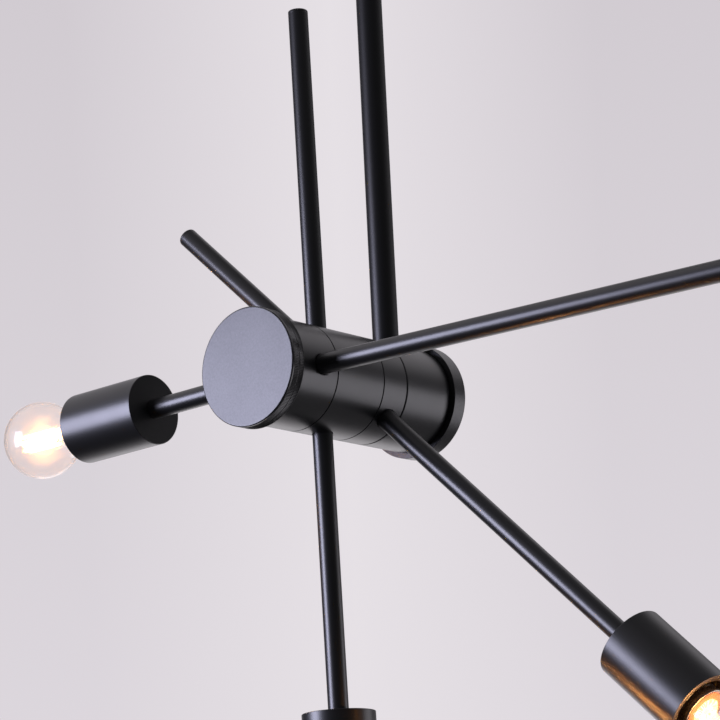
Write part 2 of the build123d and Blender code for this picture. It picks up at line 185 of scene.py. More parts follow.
@dataclass(frozen=True)
class Corner:
    """A corner of a turned outline: its distance from the axis, its place along it and its rounding."""

    radius: float
    height: float
    easing: float = 0.0

    def point(self) -> Vector:
        """Give the corner as a point of the XZ plane."""
        return Vector((self.radius, 0.0, self.height))


def arc(centre: Vector, first: Vector, last: Vector, steps: int) -> list[Vector]:
    """Divide an arc into points.

    Args:
        centre: The arc's centre.
        first: The arc's start.
        last: The arc's end, under half a turn away.
        steps: Number of straight pieces.

    Returns:
        The points from start to end.
    """
    start = first - centre
    end = last - centre
    sweep = start.angle(end)
    points = []
    for step in range(steps + 1):
        share = step / steps
        turned = start * math.sin((1 - share) * sweep) + end * math.sin(share * sweep)
        points.append(centre + turned / math.sin(sweep))
    return points


def eased(corners: list[Corner], closed: bool, steps: int = 4) -> list[Vector]:
    """Round the corners of an outline, with a point beside each arc that keeps the straight parts flat.

    Args:
        corners: The outline's corners in order.
        closed: True if the last corner joins the first.
        steps: Straight pieces in each rounded corner.

    Returns:
        The outline's points.
    """
    points = []
    count = len(corners)
    for index, corner in enumerate(corners):
        here = corner.point()
        if corner.easing == 0.0 or (not closed and index in (0, count - 1)):
            points.append(here)
            continue
        back = (corners[index - 1].point() - here).normalized()
        ahead = (corners[(index + 1) % count].point() - here).normalized()
        half = back.angle(ahead) / 2
        setback = corner.easing / math.tan(half)
        centre = here + (back + ahead).normalized() * corner.easing / math.sin(half)
        guard = setback + corner.easing / 2
        rounding = arc(centre, here + back * setback, here + ahead * setback, steps)
        points += [here + back * guard, *rounding, here + ahead * guard]
    return points


class Bench:
    """Modelling by operators, as at a workbench."""

    MERGE = 1e-6
    SMOOTH_ANGLE = math.radians(32.0)
    ON_WALL = 0.02 * MM
    ON_RIM = 0.08 * MM

    @staticmethod
    def clear() -> None:
        """Deselect everything before a new piece is started."""
        bpy.ops.object.select_all(action="DESELECT")

    @staticmethod
    def take(piece: bpy.types.Object) -> None:
        """Make a piece the only selected and active one.

        Args:
            piece: The piece to take.
        """
        Bench.clear()
        piece.select_set(True)
        bpy.context.view_layer.objects.active = piece

    @staticmethod
    def trace(name: str, points: list[Vector]) -> bpy.types.Object:
        """Draw a line of edges point by point and stay in edit mode with all of it selected.

        Args:
            name: Name of the new piece.
            points: The line's points.

        Returns:
            The new piece.
        """
        Bench.clear()
        bpy.ops.mesh.primitive_plane_add(size=MM, location=(0.0, 0.0, 0.0))
        piece = bpy.context.object
        piece.name = name
        piece.data.name = name
        bpy.ops.object.mode_set(mode="EDIT")
        bpy.ops.mesh.select_all(action="SELECT")
        bpy.ops.mesh.merge(type="CENTER")
        bpy.ops.transform.translate(value=points[0])
        for start, end in zip(points, points[1:]):
            bpy.ops.mesh.extrude_region_move(TRANSFORM_OT_translate={"value": end - start})
        bpy.ops.mesh.select_all(action="SELECT")
        return piece

    @staticmethod
    def seal() -> None:
        """Merge doubles and point all faces outwards, in edit mode."""
        bpy.ops.mesh.select_all(action="SELECT")
        bpy.ops.mesh.remove_doubles(threshold=Bench.MERGE)
        bpy.ops.mesh.normals_make_consistent(inside=False)
        bpy.ops.object.mode_set(mode="OBJECT")

    @staticmethod
    def turned(name: str, points: list[Vector], closed: bool, steps: int) -> bpy.types.Object:
        """Turn an outline about Z.

        Args:
            name: Name of the new piece.
            points: The outline in the XZ plane. An open one starts and ends on the axis.
            closed: True if the outline closes on itself.
            steps: Number of columns round the axis.

        Returns:
            The new piece, still standing on the origin.
        """
        piece = Bench.trace(name, points + points[:1] if closed else points)
        bpy.ops.mesh.remove_doubles(threshold=Bench.MERGE)
        bpy.ops.mesh.select_all(action="SELECT")
        bpy.ops.mesh.spin(steps=steps, angle=math.tau, center=(0.0, 0.0, 0.0), axis=(0.0, 0.0, 1.0))
        Bench.seal()
        return piece

    @staticmethod
    def lathe(name: str, corners: list[Corner], steps: int) -> bpy.types.Object:
        """Turn an outline of eased corners, which is open if its first corner is on the axis."""
        closed = corners[0].radius > 0.0
        return Bench.turned(name, eased(corners, closed), closed, steps)

    @staticmethod
    def rod(name: str, radius: float, length: float, steps: int) -> bpy.types.Object:
        """Turn a plain round rod that stands on the origin."""
        corners = [Corner(0.0, 0.0), Corner(radius, 0.0), Corner(radius, length), Corner(0.0, length)]
        return Bench.lathe(name, corners, steps)

    @staticmethod
    def seat(piece: bpy.types.Object, place: Matrix) -> bpy.types.Object:
        """Put a piece in its place and apply the move to its mesh.

        Args:
            piece: The piece to move.
            place: Where it goes.

        Returns:
            The same piece.
        """
        Bench.take(piece)
        piece.matrix_world = place
        bpy.ops.object.transform_apply(location=True, rotation=True, scale=True)
        return piece

    @staticmethod
    def smooth(piece: bpy.types.Object) -> bpy.types.Object:
        """Shade a piece smooth with its sharp edges kept.

        Args:
            piece: The piece to shade.

        Returns:
            The same piece.
        """
        Bench.take(piece)
        bpy.ops.object.shade_smooth_by_angle(angle=Bench.SMOOTH_ANGLE)
        return piece

    @staticmethod
    def modify(piece: bpy.types.Object, kind: str, **settings: object) -> None:
        """Add a modifier to a piece and apply it.

        Args:
            piece: The piece to change.
            kind: The modifier's type.
            settings: Its properties.
        """
        Bench.take(piece)
        bpy.ops.object.modifier_add(type=kind)
        modifier = piece.modifiers[-1]
        for name, value in settings.items():
            setattr(modifier, name, value)
        bpy.ops.object.modifier_apply(modifier=modifier.name)

    @staticmethod
    def cut(piece: bpy.types.Object, cutter: bpy.types.Object) -> None:
        """Cut a piece with another one, which is used up."""
        Bench.modify(piece, "BOOLEAN", operation="DIFFERENCE", solver="EXACT", object=cutter)
        bpy.data.objects.remove(cutter)

    @staticmethod
    def join(name: str, pieces: list[bpy.types.Object]) -> bpy.types.Object:
        """Join pieces of one material into one mesh.

        Args:
            name: Name of the joined piece.
            pieces: The pieces to join.

        Returns:
            The joined piece.
        """
        Bench.take(pieces[0])
        for piece in pieces[1:]:
            piece.select_set(True)
        bpy.ops.object.join()
        pieces[0].name = name
        return pieces[0]

    @staticmethod
    def select(piece: bpy.types.Object, wanted: Callable[[Vector], bool]) -> None:
        """Enter edit mode and select the points that pass a test on their place.

        Args:
            piece: The piece to work on.
            wanted: True for a point that is to be selected.
        """
        Bench.take(piece)
        bpy.ops.object.mode_set(mode="EDIT")
        bpy.ops.mesh.select_mode(type="VERT")
        bpy.ops.mesh.select_all(action="DESELECT")
        mesh = bmesh.from_edit_mesh(piece.data)
        for vertex in mesh.verts:
            vertex.select = wanted(vertex.co)
        mesh.select_flush_mode()
        bmesh.update_edit_mesh(piece.data)

    @staticmethod
    def knurl(piece: bpy.types.Object, bands: list[Range], columns: int, depth: float) -> None:
        """Press a straight knurl into the rim of a piece that stands about Z.

        Args:
            piece: The turned piece, with two columns for each tooth.
            bands: Lowest and highest place of each knurled band.
            columns: Number of columns round the axis.
            depth: Depth of the grooves.
        """
        rim = max(vertex.co.xy.length for vertex in piece.data.vertices)

        def in_groove(point: Vector) -> bool:
            """Tell whether a point of the rim lies in a groove of a band.

            Args:
                point: The point's place.

            Returns:
                True for a point in a groove.
            """
            column = round(math.atan2(point.y, point.x) / math.tau * columns)
            banded = any(low < point.z < high for low, high in bands)
            return banded and column % 2 == 1 and point.xy.length > rim - depth / 2

        Bench.select(piece, in_groove)
        inwards = 1.0 - depth / rim
        bpy.ops.transform.resize(value=(inwards, inwards, 1.0), center_override=(0.0, 0.0, 0.0))
        bpy.ops.object.mode_set(mode="OBJECT")

    @staticmethod
    def ease_rim(piece: bpy.types.Object, hub: Line, arm: Line, bore: float, easing: float) -> None:
        """Round the edge where a radial hole meets a hub segment's outside.

        Args:
            piece: The hub segment in its place.
            hub: The hub's axis.
            arm: The hole's axis.
            bore: The hole's radius.
            easing: Width of the rounding.
        """
        rim = max((vertex.co - hub.origin).cross(hub.direction).length for vertex in piece.data.vertices)

        def on_rim(point: Vector) -> bool:
            """Tell whether a point lies on the hole's wall and on the outside at once."""
            on_wall = abs((point - arm.origin).cross(arm.direction).length - bore) < Bench.ON_WALL
            return on_wall and abs((point - hub.origin).cross(hub.direction).length - rim) < Bench.ON_RIM

        Bench.select(piece, on_rim)
        bpy.ops.mesh.bevel(offset=easing, segments=2, affect="EDGES", clamp_overlap=False)
        bpy.ops.object.mode_set(mode="OBJECT")


class Graph:
    """A node tree with short ways to add and join its nodes."""

    def __init__(self, tree: bpy.types.NodeTree) -> None:
        """Keep the tree that is worked on."""
        self.tree = tree

    def add(self, kind: str, inputs: dict | None = None, **settings: object) -> bpy.types.Node:
        """Add a node.

        Args:
            kind: The node's type.
            inputs: Socket name or number to a value, or to a socket that is linked in.
            settings: Properties of the node.

        Returns:
            The new node.
        """
        node = self.tree.nodes.new(kind)
        for name, value in settings.items():
            setattr(node, name, value)
        for name, value in (inputs or {}).items():
            self.feed(node.inputs[name], value)
        return node

    def feed(self, socket: bpy.types.NodeSocket, value: object) -> None:
        """Set a socket to a value, or link another socket to it.

        Args:
            socket: The input socket.
            value: A value, a colour of three channels or an output socket.
        """
        if isinstance(value, bpy.types.NodeSocket):
            self.tree.links.new(value, socket)
        elif isinstance(value, tuple) and len(value) == 3 and socket.type == "RGBA":
            socket.default_value = (*value, 1.0)
        else:
            socket.default_value = value

    def math(self, operation: str, first: object, second: object) -> bpy.types.NodeSocket:
        """Work out one value from two."""
        return self.add("ShaderNodeMath", {0: first, 1: second}, operation=operation).outputs[0]

    def mix(self, share: object, first: object, second: object) -> bpy.types.NodeSocket:
        """Mix two colours by a share. The node repeats its socket names, so they go by number."""
        node = self.add("ShaderNodeMix", {0: share, 6: first, 7: second}, data_type="RGBA")
        return node.outputs[2]

    def stretch(self, value: object, source: Range, target: Range) -> bpy.types.NodeSocket:
        """Map a value from one range to another and keep it there."""
        inputs = {"Value": value, 1: source[0], 2: source[1], 3: target[0], 4: target[1]}
        return self.add("ShaderNodeMapRange", inputs).outputs[0]

    def place(self) -> bpy.types.NodeSocket:
        """Give the Object coordinates."""
        return self.add("ShaderNodeTexCoord").outputs["Object"]


@dataclass(frozen=True)
class Effect:
    """A shared effect that several finishes use, kept as one node group."""

    name: str
    inputs: tuple[tuple[str, float], ...]
    outputs: tuple[str, ...]
    build: Callable[[Graph, dict], dict]

    def group(self) -> bpy.types.NodeTree:
        """Make the group once, and give it again after that.

        Returns:
            The node group.
        """
        made = bpy.data.node_groups.get(self.name)
        if made is not None:
            return made
        tree = bpy.data.node_groups.new(self.name, "ShaderNodeTree")
        tree.interface.new_socket("Vector", in_out="INPUT", socket_type="NodeSocketVector")
        for label, value in self.inputs:
            socket = tree.interface.new_socket(label, in_out="INPUT", socket_type="NodeSocketFloat")
            socket.default_value = value
        for label in self.outputs:
            tree.interface.new_socket(label, in_out="OUTPUT", socket_type="NodeSocketFloat")
        graph = Graph(tree)
        entry = graph.add("NodeGroupInput")
        results = self.build(graph, {socket.name: socket for socket in entry.outputs if socket.name})
        graph.add("NodeGroupOutput", results)
        return tree

    def put(self, graph: Graph, vector: bpy.types.NodeSocket, **values: float) -> bpy.types.Node:
        """Place the effect in a material.

        Args:
            graph: The material's graph.
            vector: The coordinates that it follows.
            values: Its own values, by input name with underscores for spaces.

        Returns:
            The group node.
        """
        node = graph.add("ShaderNodeGroup", node_tree=self.group())
        graph.feed(node.inputs["Vector"], vector)
        for label, value in values.items():
            graph.feed(node.inputs[label.replace("_", " ")], value)
        return node


def build_grain(graph: Graph, entry: dict) -> dict:
    """Fine pebbled skin of a sprayed or moulded surface, with slow clouds under it.

    Args:
        graph: The group's graph.
        entry: The group's inputs.

    Returns:
        The group's outputs.
    """
    fine = {"Vector": entry["Vector"], "Scale": entry["Grain Scale"], "Detail": 2.0, "Roughness": 0.5}
    slow = {"Vector": entry["Vector"], "Scale": entry["Cloud Scale"], "Detail": 4.0, "Roughness": 0.6}
    grain = graph.add("ShaderNodeTexNoise", fine).outputs[0]
    cloud = graph.add("ShaderNodeTexNoise", slow).outputs[0]
    return {"Height": grain, "Cloud": graph.stretch(cloud, NOISE_RANGE, (0.0, 1.0))}


def build_specks(graph: Graph, entry: dict) -> dict:
    """Small dust specks, one in each of a few cells.

    Args:
        graph: The group's graph.
        entry: The group's inputs.

    Returns:
        The group's outputs.
    """
    inputs = {"Vector": entry["Vector"], "Scale": entry["Scale"], "Randomness": 1.0}
    cells = graph.add("ShaderNodeTexVoronoi", inputs)
    near = graph.math("LESS_THAN", cells.outputs["Distance"], entry["Size"])
    chance = graph.add("ShaderNodeSeparateColor", {0: cells.outputs["Color"]}).outputs[0]
    chosen = graph.math("LESS_THAN", chance, entry["Cover"])
    return {"Mask": graph.math("MULTIPLY", near, chosen)}


def build_streaks(graph: Graph, entry: dict) -> dict:
    """Fine lines of turning or drawing that run round or along a piece.

    Args:
        graph: The group's graph.
        entry: The group's inputs.

    Returns:
        The group's outputs.
    """
    inputs = {"Vector": entry["Vector"], "Scale": entry["Scale"], "Detail": 6.0, "Roughness": 0.7}
    lines = graph.add("ShaderNodeTexNoise", inputs).outputs[0]
    return {"Lines": graph.stretch(lines, (0.25, 0.75), (0.0, 1.0))}


GRAIN = Effect(
    name="coating_grain",
    inputs=(("Grain Scale", 900.0), ("Cloud Scale", 30.0)),
    outputs=("Height", "Cloud"),
    build=build_grain,
)
SPECKS = Effect(
    name="dust_specks",
    inputs=(("Scale", 260.0), ("Size", 0.05), ("Cover", 0.1)),
    outputs=("Mask",),
    build=build_specks,
)
STREAKS = Effect(
    name="turning_streaks",
    inputs=(("Scale", 300.0),),
    outputs=("Lines",),
    build=build_streaks,
)


@dataclass(frozen=True)
class Finish:
    """A finish with its own procedural material."""

    name: str

    def material(self) -> bpy.types.Material:
        """Make the material once, and give it again after that.

        Glowing faces aren't sampled as lamps, because soft lamps stand in for them.

        Returns:
            The material.
        """
        made = bpy.data.materials.get(self.name)
        if made is not None:
            return made
        made = bpy.data.materials.new(self.name)
        made.use_nodes = True
        made.node_tree.nodes.clear()
        graph = Graph(made.node_tree)
        surface = self.shade(graph, graph.place())
        graph.add("ShaderNodeOutputMaterial", {"Surface": surface})
        made.cycles.emission_sampling = "NONE"
        return made

    def shade(self, graph: Graph, place: bpy.types.NodeSocket) -> bpy.types.NodeSocket:
        """Build the finish's shader on the Object coordinates."""
        raise NotImplementedError

    def dress(self, piece: bpy.types.Object) -> None:
        """Give a piece this finish alone."""
        piece.data.materials.clear()
        piece.data.materials.append(self.material())


@dataclass(frozen=True)
class SatinCoat(Finish):
    """Sprayed satin coat or moulded skin: a fine pebble, slow clouds of gloss and a little dust."""

    colour: Colour
    dust: Colour
    gloss_range: Range
    grain_scale: float
    grain_depth: float
    dust_cover: float
    specular: float
    lacquer: float = 0.0
    cloud_span: float = 30.0
    cloud_shade: float = 0.72
    dust_span: float = 3.0
    dust_size: float = 0.09
    dust_dullness: float = 0.6
    relief_strength: float = 0.35

    def shade(self, graph: Graph, place: bpy.types.NodeSocket) -> bpy.types.NodeSocket:
        """Build the coat's shader from its grain, clouds, dust and any lacquer on the pebble.

        Args:
            graph: The material's graph.
            place: The Object coordinates.

        Returns:
            The shader's output.
        """
        cloud_scale = self.grain_scale / self.cloud_span
        dust_scale = self.grain_scale / self.dust_span
        grain = GRAIN.put(graph, place, Grain_Scale=self.grain_scale, Cloud_Scale=cloud_scale)
        dust = SPECKS.put(graph, place, Scale=dust_scale, Size=self.dust_size, Cover=self.dust_cover)
        shade = tuple(self.cloud_shade * channel for channel in self.colour)
        clouded = graph.mix(grain.outputs["Cloud"], self.colour, shade)
        pebble = graph.stretch(grain.outputs["Height"], NOISE_RANGE, (0.0, 1.0))
        uneven = graph.math("ADD", grain.outputs["Cloud"], pebble)
        gloss = graph.stretch(uneven, (0.0, 2.0), self.gloss_range)
        dull = graph.math("MULTIPLY", dust.outputs["Mask"], self.dust_dullness)
        relief = {
            "Height": grain.outputs["Height"],
            "Strength": self.relief_strength,
            "Distance": self.grain_depth,
        }
        inputs = {
            "Base Color": graph.mix(dust.outputs["Mask"], clouded, self.dust),
            "Roughness": graph.math("MAXIMUM", gloss, dull),
            "Normal": graph.add("ShaderNodeBump", relief).outputs[0],
            "Specular IOR Level": self.specular,
        }
        if self.lacquer > 0.0:
            inputs["Coat Weight"] = graph.stretch(pebble, (0.0, 1.0), (0.0, self.lacquer))
            inputs["Coat Roughness"] = sum(self.gloss_range) / 2
        return graph.add("ShaderNodeBsdfPrincipled", inputs).outputs[0]


@dataclass(frozen=True)
class WorkedMetal(Finish):
    """Plated or drawn metal with fine working lines and slow patches of tarnish."""

    colour: Colour
    tarnish: Colour
    gloss_range: Range
    line_scale: float
    line_stretch: tuple[float, float, float]
    line_depth: float = 0.02 * MM
    tarnish_scale: float = 120.0
    relief_strength: float = 0.12

    def shade(self, graph: Graph, place: bpy.types.NodeSocket) -> bpy.types.NodeSocket:
        """Build the metal's shader from its lines and tarnish.

        Args:
            graph: The material's graph.
            place: The Object coordinates.

        Returns:
            The shader's output.
        """
        mapping = graph.add("ShaderNodeMapping", {"Vector": place, "Scale": self.line_stretch})
        lines = STREAKS.put(graph, mapping.outputs[0], Scale=self.line_scale).outputs["Lines"]
        grain = GRAIN.put(graph, place, Grain_Scale=self.line_scale, Cloud_Scale=self.tarnish_scale)
        relief = {"Height": lines, "Strength": self.relief_strength, "Distance": self.line_depth}
        inputs = {
            "Base Color": graph.mix(grain.outputs["Cloud"], self.colour, self.tarnish),
            "Metallic": 1.0,
            "Roughness": graph.stretch(lines, (0.0, 1.0), self.gloss_range),
            "Normal": graph.add("ShaderNodeBump", relief).outputs[0],
        }
        return graph.add("ShaderNodeBsdfPrincipled", inputs).outputs[0]


@dataclass(frozen=True)
class BlownGlass(Finish):
    """Clear glass with faint waves, a tint, fine dust and a painted glow for the bulb's light in it."""

    tint: Colour
    film: Colour
    clean: float
    dusty: float
    # painted glow colours over the glass and on its dust specks, and the strength of that painted glow
    painted_glow: Colour
    painted_dust_glow: Colour
    light: float
    wave_scale: float = 60.0
    wave_depth: float = 0.1 * MM
    film_scale: float = 25.0
    dust_scale: float = 520.0
    dust_size: float = 0.13
    dust_cover: float = 0.16
    relief_strength: float = 0.04
    refraction: float = 1.46

    def shade(self, graph: Graph, place: bpy.types.NodeSocket) -> bpy.types.NodeSocket:
        """Build the glass with clear shadows, so the lamp inside lights what is around it, and a painted
        glow.

        Args:
            graph: The material's graph.
            place: The Object coordinates.

        Returns:
            The shader's output.
        """
        waves = GRAIN.put(graph, place, Grain_Scale=self.wave_scale, Cloud_Scale=self.film_scale)
        specks = {"Scale": self.dust_scale, "Size": self.dust_size, "Cover": self.dust_cover}
        dust = SPECKS.put(graph, place, **specks)
        relief = {
            "Height": waves.outputs["Height"],
            "Strength": self.relief_strength,
            "Distance": self.wave_depth,
        }
        inputs = {
            "Base Color": graph.mix(waves.outputs["Cloud"], self.tint, self.film),
            "Roughness": graph.stretch(dust.outputs["Mask"], (0.0, 1.0), (self.clean, self.dusty)),
            "Normal": graph.add("ShaderNodeBump", relief).outputs[0],
            "Transmission Weight": 1.0,
            "IOR": self.refraction,
            # painted glow: emission over the whole glass, brighter on the dust specks, stands in for the
            # bulb's light in it
            "Emission Color": graph.mix(dust.outputs["Mask"], self.painted_glow, self.painted_dust_glow),
            "Emission Strength": self.light,
        }
        glass = graph.add("ShaderNodeBsdfPrincipled", inputs).outputs[0]
        clear = graph.add("ShaderNodeBsdfTransparent", {"Color": self.tint}).outputs[0]
        shadow = graph.add("ShaderNodeLightPath").outputs[Rays.SHADOW.value]
        return graph.add("ShaderNodeMixShader", {0: shadow, 1: glass, 2: clear}).outputs[0]


@dataclass(frozen=True)
class GlowingPhosphor(Finish):
    """Phosphor coat of a filament, lit from inside and a little uneven along its length."""

    coat: Colour
    glow: Colour
    glow_deep: Colour
    strength: float
    gloss_range: Range = (0.5, 0.7)
    grain_scale: float = 2500.0
    grain_depth: float = 0.05 * MM
    cloud_scale: float = 700.0
    relief_strength: float = 0.3

    def shade(self, graph: Graph, place: bpy.types.NodeSocket) -> bpy.types.NodeSocket:
        """Build the glowing coat from its clouds.

        Args:
            graph: The material's graph.
            place: The Object coordinates.

        Returns:
            The shader's output.
        """
        grain = GRAIN.put(graph, place, Grain_Scale=self.grain_scale, Cloud_Scale=self.cloud_scale)
        relief = {
            "Height": grain.outputs["Height"],
            "Strength": self.relief_strength,
            "Distance": self.grain_depth,
        }
        inputs = {
            "Base Color": graph.mix(grain.outputs["Cloud"], self.coat, self.glow),
            "Roughness": graph.stretch(grain.outputs["Height"], (0.0, 1.0), self.gloss_range),
            "Normal": graph.add("ShaderNodeBump", relief).outputs[0],
            "Emission Color": graph.mix(grain.outputs["Cloud"], self.glow, self.glow_deep),
            "Emission Strength": self.strength,
        }
        return graph.add("ShaderNodeBsdfPrincipled", inputs).outputs[0]


@dataclass(frozen=True)
class PaleFloor(Finish):
    """Matt floor paint with faint clouds, which looks as pale as the wall behind and takes shadows."""

    colour: Colour
    glow: Colour
    gloss_range: Range = (0.7, 0.8)
    grain_scale: float = 60.0
    cloud_scale: float = 1.5
    cloud_shade: float = 0.96
    specular: float = 0.2

    def shade(self, graph: Graph, place: bpy.types.NodeSocket) -> bpy.types.NodeSocket:
        """Build the paint, with the pale glow added where it is seen straight or through glass.

        Args:
            graph: The material's graph.
            place: The Object coordinates.

        Returns:
            The shader's output.
        """
        grain = GRAIN.put(graph, place, Grain_Scale=self.grain_scale, Cloud_Scale=self.cloud_scale)
        shade = tuple(self.cloud_shade * channel for channel in self.colour)
        inputs = {
            "Base Color": graph.mix(grain.outputs["Cloud"], self.colour, shade),
            "Roughness": graph.stretch(grain.outputs["Height"], (0.0, 1.0), self.gloss_range),
            "Specular IOR Level": self.specular,
        }
        paint = graph.add("ShaderNodeBsdfPrincipled", inputs).outputs[0]
        glow = graph.add("ShaderNodeEmission", {"Color": self.glow, "Strength": 1.0}).outputs[0]
        pale = graph.add("ShaderNodeAddShader", {0: paint, 1: glow}).outputs[0]
        path = graph.add("ShaderNodeLightPath").outputs
        seen = graph.math("MAXIMUM", path[Rays.CAMERA.value], path[Rays.TRANSMISSION.value])
        return graph.add("ShaderNodeMixShader", {0: seen, 1: paint, 2: pale}).outputs[0]


COAT_BLACK: Colour = (0.006, 0.006, 0.007)
COAT_GREY: Colour = (0.06, 0.06, 0.065)
DRAWN_LINES = (1.0, 1.0, 0.12)
MICA = SatinCoat(
    name="mica_shield",
    colour=(0.24, 0.10, 0.045),
    dust=(0.34, 0.18, 0.09),
    gloss_range=(0.35, 0.5),
    grain_scale=900.0,
    grain_depth=0.03 * MM,
    dust_cover=0.1,
    specular=0.5,
)
BLACK_COAT = SatinCoat(
    name="satin_black_coat",
    colour=COAT_BLACK,
    dust=COAT_GREY,
    gloss_range=(0.34, 0.38),
    grain_scale=1500.0,
    grain_depth=0.0015 * MM,
    dust_cover=0.02,
    specular=0.975,
)
STEM_COAT = SatinCoat(
    name="satin_black_stem",
    colour=COAT_BLACK,
    dust=COAT_GREY,
    gloss_range=(0.38, 0.42),
    grain_scale=1500.0,
    grain_depth=0.0015 * MM,
    dust_cover=0.02,
    specular=0.68,
)
TURNED_BLACK = SatinCoat(
    name="satin_black_cap",
    colour=(0.007, 0.007, 0.008),
    dust=COAT_GREY,
    gloss_range=(0.345, 0.4),
    grain_scale=900.0,
    grain_depth=0.01 * MM,
    dust_cover=0.1,
    specular=0.8,
    lacquer=0.4,
)
BLACK_NYLON = SatinCoat(
    name="black_nylon",
    colour=(0.008, 0.008, 0.008),
    dust=COAT_GREY,
    gloss_range=(0.55, 0.7),
    grain_scale=1100.0,
    grain_depth=0.05 * MM,
    dust_cover=0.01,
    specular=0.3,
)
BLACK_MOULDING = SatinCoat(
    name="black_moulding",
    colour=(0.007, 0.006, 0.006),
    dust=COAT_GREY,
    gloss_range=(0.4, 0.52),
    grain_scale=1600.0,
    grain_depth=0.03 * MM,
    dust_cover=0.02,
    specular=0.3,
)
WHITE_MOULDING = SatinCoat(
    name="white_moulding",
    colour=(0.74, 0.73, 0.70),
    dust=(0.45, 0.43, 0.4),
    gloss_range=(0.4, 0.5),
    grain_scale=1200.0,
    grain_depth=0.03 * MM,
    dust_cover=0.02,
    specular=0.5,
)
SHEATH = SatinCoat(
    name="wire_sheath",
    colour=(0.62, 0.61, 0.58),
    dust=(0.4, 0.39, 0.36),
    gloss_range=(0.45, 0.6),
    grain_scale=900.0,
    grain_depth=0.04 * MM,
    dust_cover=0.02,
    specular=0.4,
)
INSULATOR = SatinCoat(
    name="base_insulator",
    colour=(0.012, 0.011, 0.016),
    dust=COAT_GREY,
    gloss_range=(0.12, 0.2),
    grain_scale=700.0,
    grain_depth=0.02 * MM,
    dust_cover=0.01,
    specular=0.5,
)
ZINC_STEEL = WorkedMetal(
    name="zinc_steel",
    colour=(0.62, 0.63, 0.65),
    tarnish=(0.48, 0.47, 0.45),
    gloss_range=(0.28, 0.45),
    line_scale=900.0,
    line_stretch=DRAWN_LINES,
)
BRASS = WorkedMetal(
    name="drawn_brass",
    colour=(0.78, 0.57, 0.26),
    tarnish=(0.52, 0.35, 0.14),
    gloss_range=(0.22, 0.38),
    line_scale=900.0,
    line_stretch=DRAWN_LINES,
)
BASE_METAL = WorkedMetal(
    name="bulb_base_metal",
    colour=(0.72, 0.70, 0.67),
    tarnish=(0.5, 0.46, 0.41),
    gloss_range=(0.2, 0.36),
    line_scale=1200.0,
    line_stretch=(1.0, 1.0, 1.0),
)
# painted glow: a faint warm haze over the globe and warm specks, for the filaments' light in the glass
GLOBE_GLASS = BlownGlass(
    name="globe_glass",
    tint=(0.985, 0.98, 0.975),
    film=(0.965, 0.95, 0.94),
    clean=0.1,
    dusty=0.3,
    painted_glow=(0.16, 0.10, 0.06),
    painted_dust_glow=(1.0, 0.75, 0.5),
    light=0.1,
)
# painted glow: the mount glass glows orange all over, for the filaments' light caught in it
MOUNT_GLASS = BlownGlass(
    name="mount_glass",
    tint=(0.97, 0.97, 0.96),
    film=(0.92, 0.92, 0.9),
    clean=0.04,
    dusty=0.3,
    painted_glow=(1.0, 0.56, 0.22),
    painted_dust_glow=(1.0, 0.75, 0.5),
    light=1.5,
)
FLOOR_PAINT = PaleFloor(name="floor_paint", colour=(0.70, 0.68, 0.71), glow=(0.59, 0.555, 0.59))
FILAMENT_GLOW = GlowingPhosphor(
    name="filament_phosphor",
    coat=(0.9, 0.55, 0.16),
    glow=(1.0, 0.5, 0.17),
    glow_deep=(1.0, 0.42, 0.12),
    strength=110.0,
)


def hand_over(
    piece: bpy.types.Object, body: str, slot: Slot, finish: Finish, *nodes: str
) -> bpy.types.Object:
    """Finish a piece: smooth it, dress it, let it ride and hide the CAD nodes that it stands for.

    Args:
        piece: The piece in its place.
        body: The CAD body that it moves with.
        slot: The record's material slot; not used.
        finish: Its finish.
        nodes: CAD nodes that it replaces.

    Returns:
        The same piece.
    """
    Bench.smooth(piece)
    finish.dress(piece)
    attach(piece, body)
    if nodes:
        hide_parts(*nodes)
    LOG.info("%s: %d faces on %s", piece.name, len(piece.data.polygons), body)
    return piece


@dataclass
class Stem:
    """The two stem tubes, screwed end to end."""

    body: str = "fixture"
    wall: float = 1.5 * MM
    end_easing: float = 0.35 * MM
    cable_hole: float = 3.5 * MM
    hanger_bush: float = 7.0 * MM
    hole_gap: float = 0.3 * MM
    columns: int = 72
    line: Line = field(default_factory=stem_line)

    def tube(self, node: str) -> bpy.types.Object:
        """Turn one stem tube with eased ends.

        Args:
            node: The CAD node that it follows.

        Returns:
            The tube in its place.
        """
        low, high = self.line.span(node)
        outside = self.line.reach(node)
        inside = outside - self.wall
        corners = [
            Corner(inside, low),
            Corner(outside, low, self.end_easing),
            Corner(outside, high, self.end_easing),
            Corner(inside, high),
        ]
        return Bench.lathe(f"{node}_tube", corners, self.columns)

    def drill_cable_hole(self, tube: bpy.types.Object) -> None:
        """Drill the side hole that lets the supply cable out under the ceiling.

        Args:
            tube: The upper stem tube in its place.
        """
        high = self.line.span("upper_stem")[1]
        height = high - self.hanger_bush - self.cable_hole - self.hole_gap
        bit = Line(Vector((0.0, 0.0, height)), Vector((0.0, 1.0, 0.0)), Vector((1.0, 0.0, 0.0)))
        length = 2.0 * self.line.reach("upper_stem")
        drill = Bench.rod("cable_bit", self.cable_hole, length, self.columns)
        Bench.cut(tube, Bench.seat(drill, bit.place()))

    def build(self) -> None:
        """Make and dress both tubes."""
        upper = self.tube("upper_stem")
        self.drill_cable_hole(upper)
        hand_over(upper, self.body, Slot.BLACK_STEEL, STEM_COAT, "upper_stem")
        hand_over(self.tube("lower_stem"), self.body, Slot.BLACK_STEEL, STEM_COAT, "lower_stem")


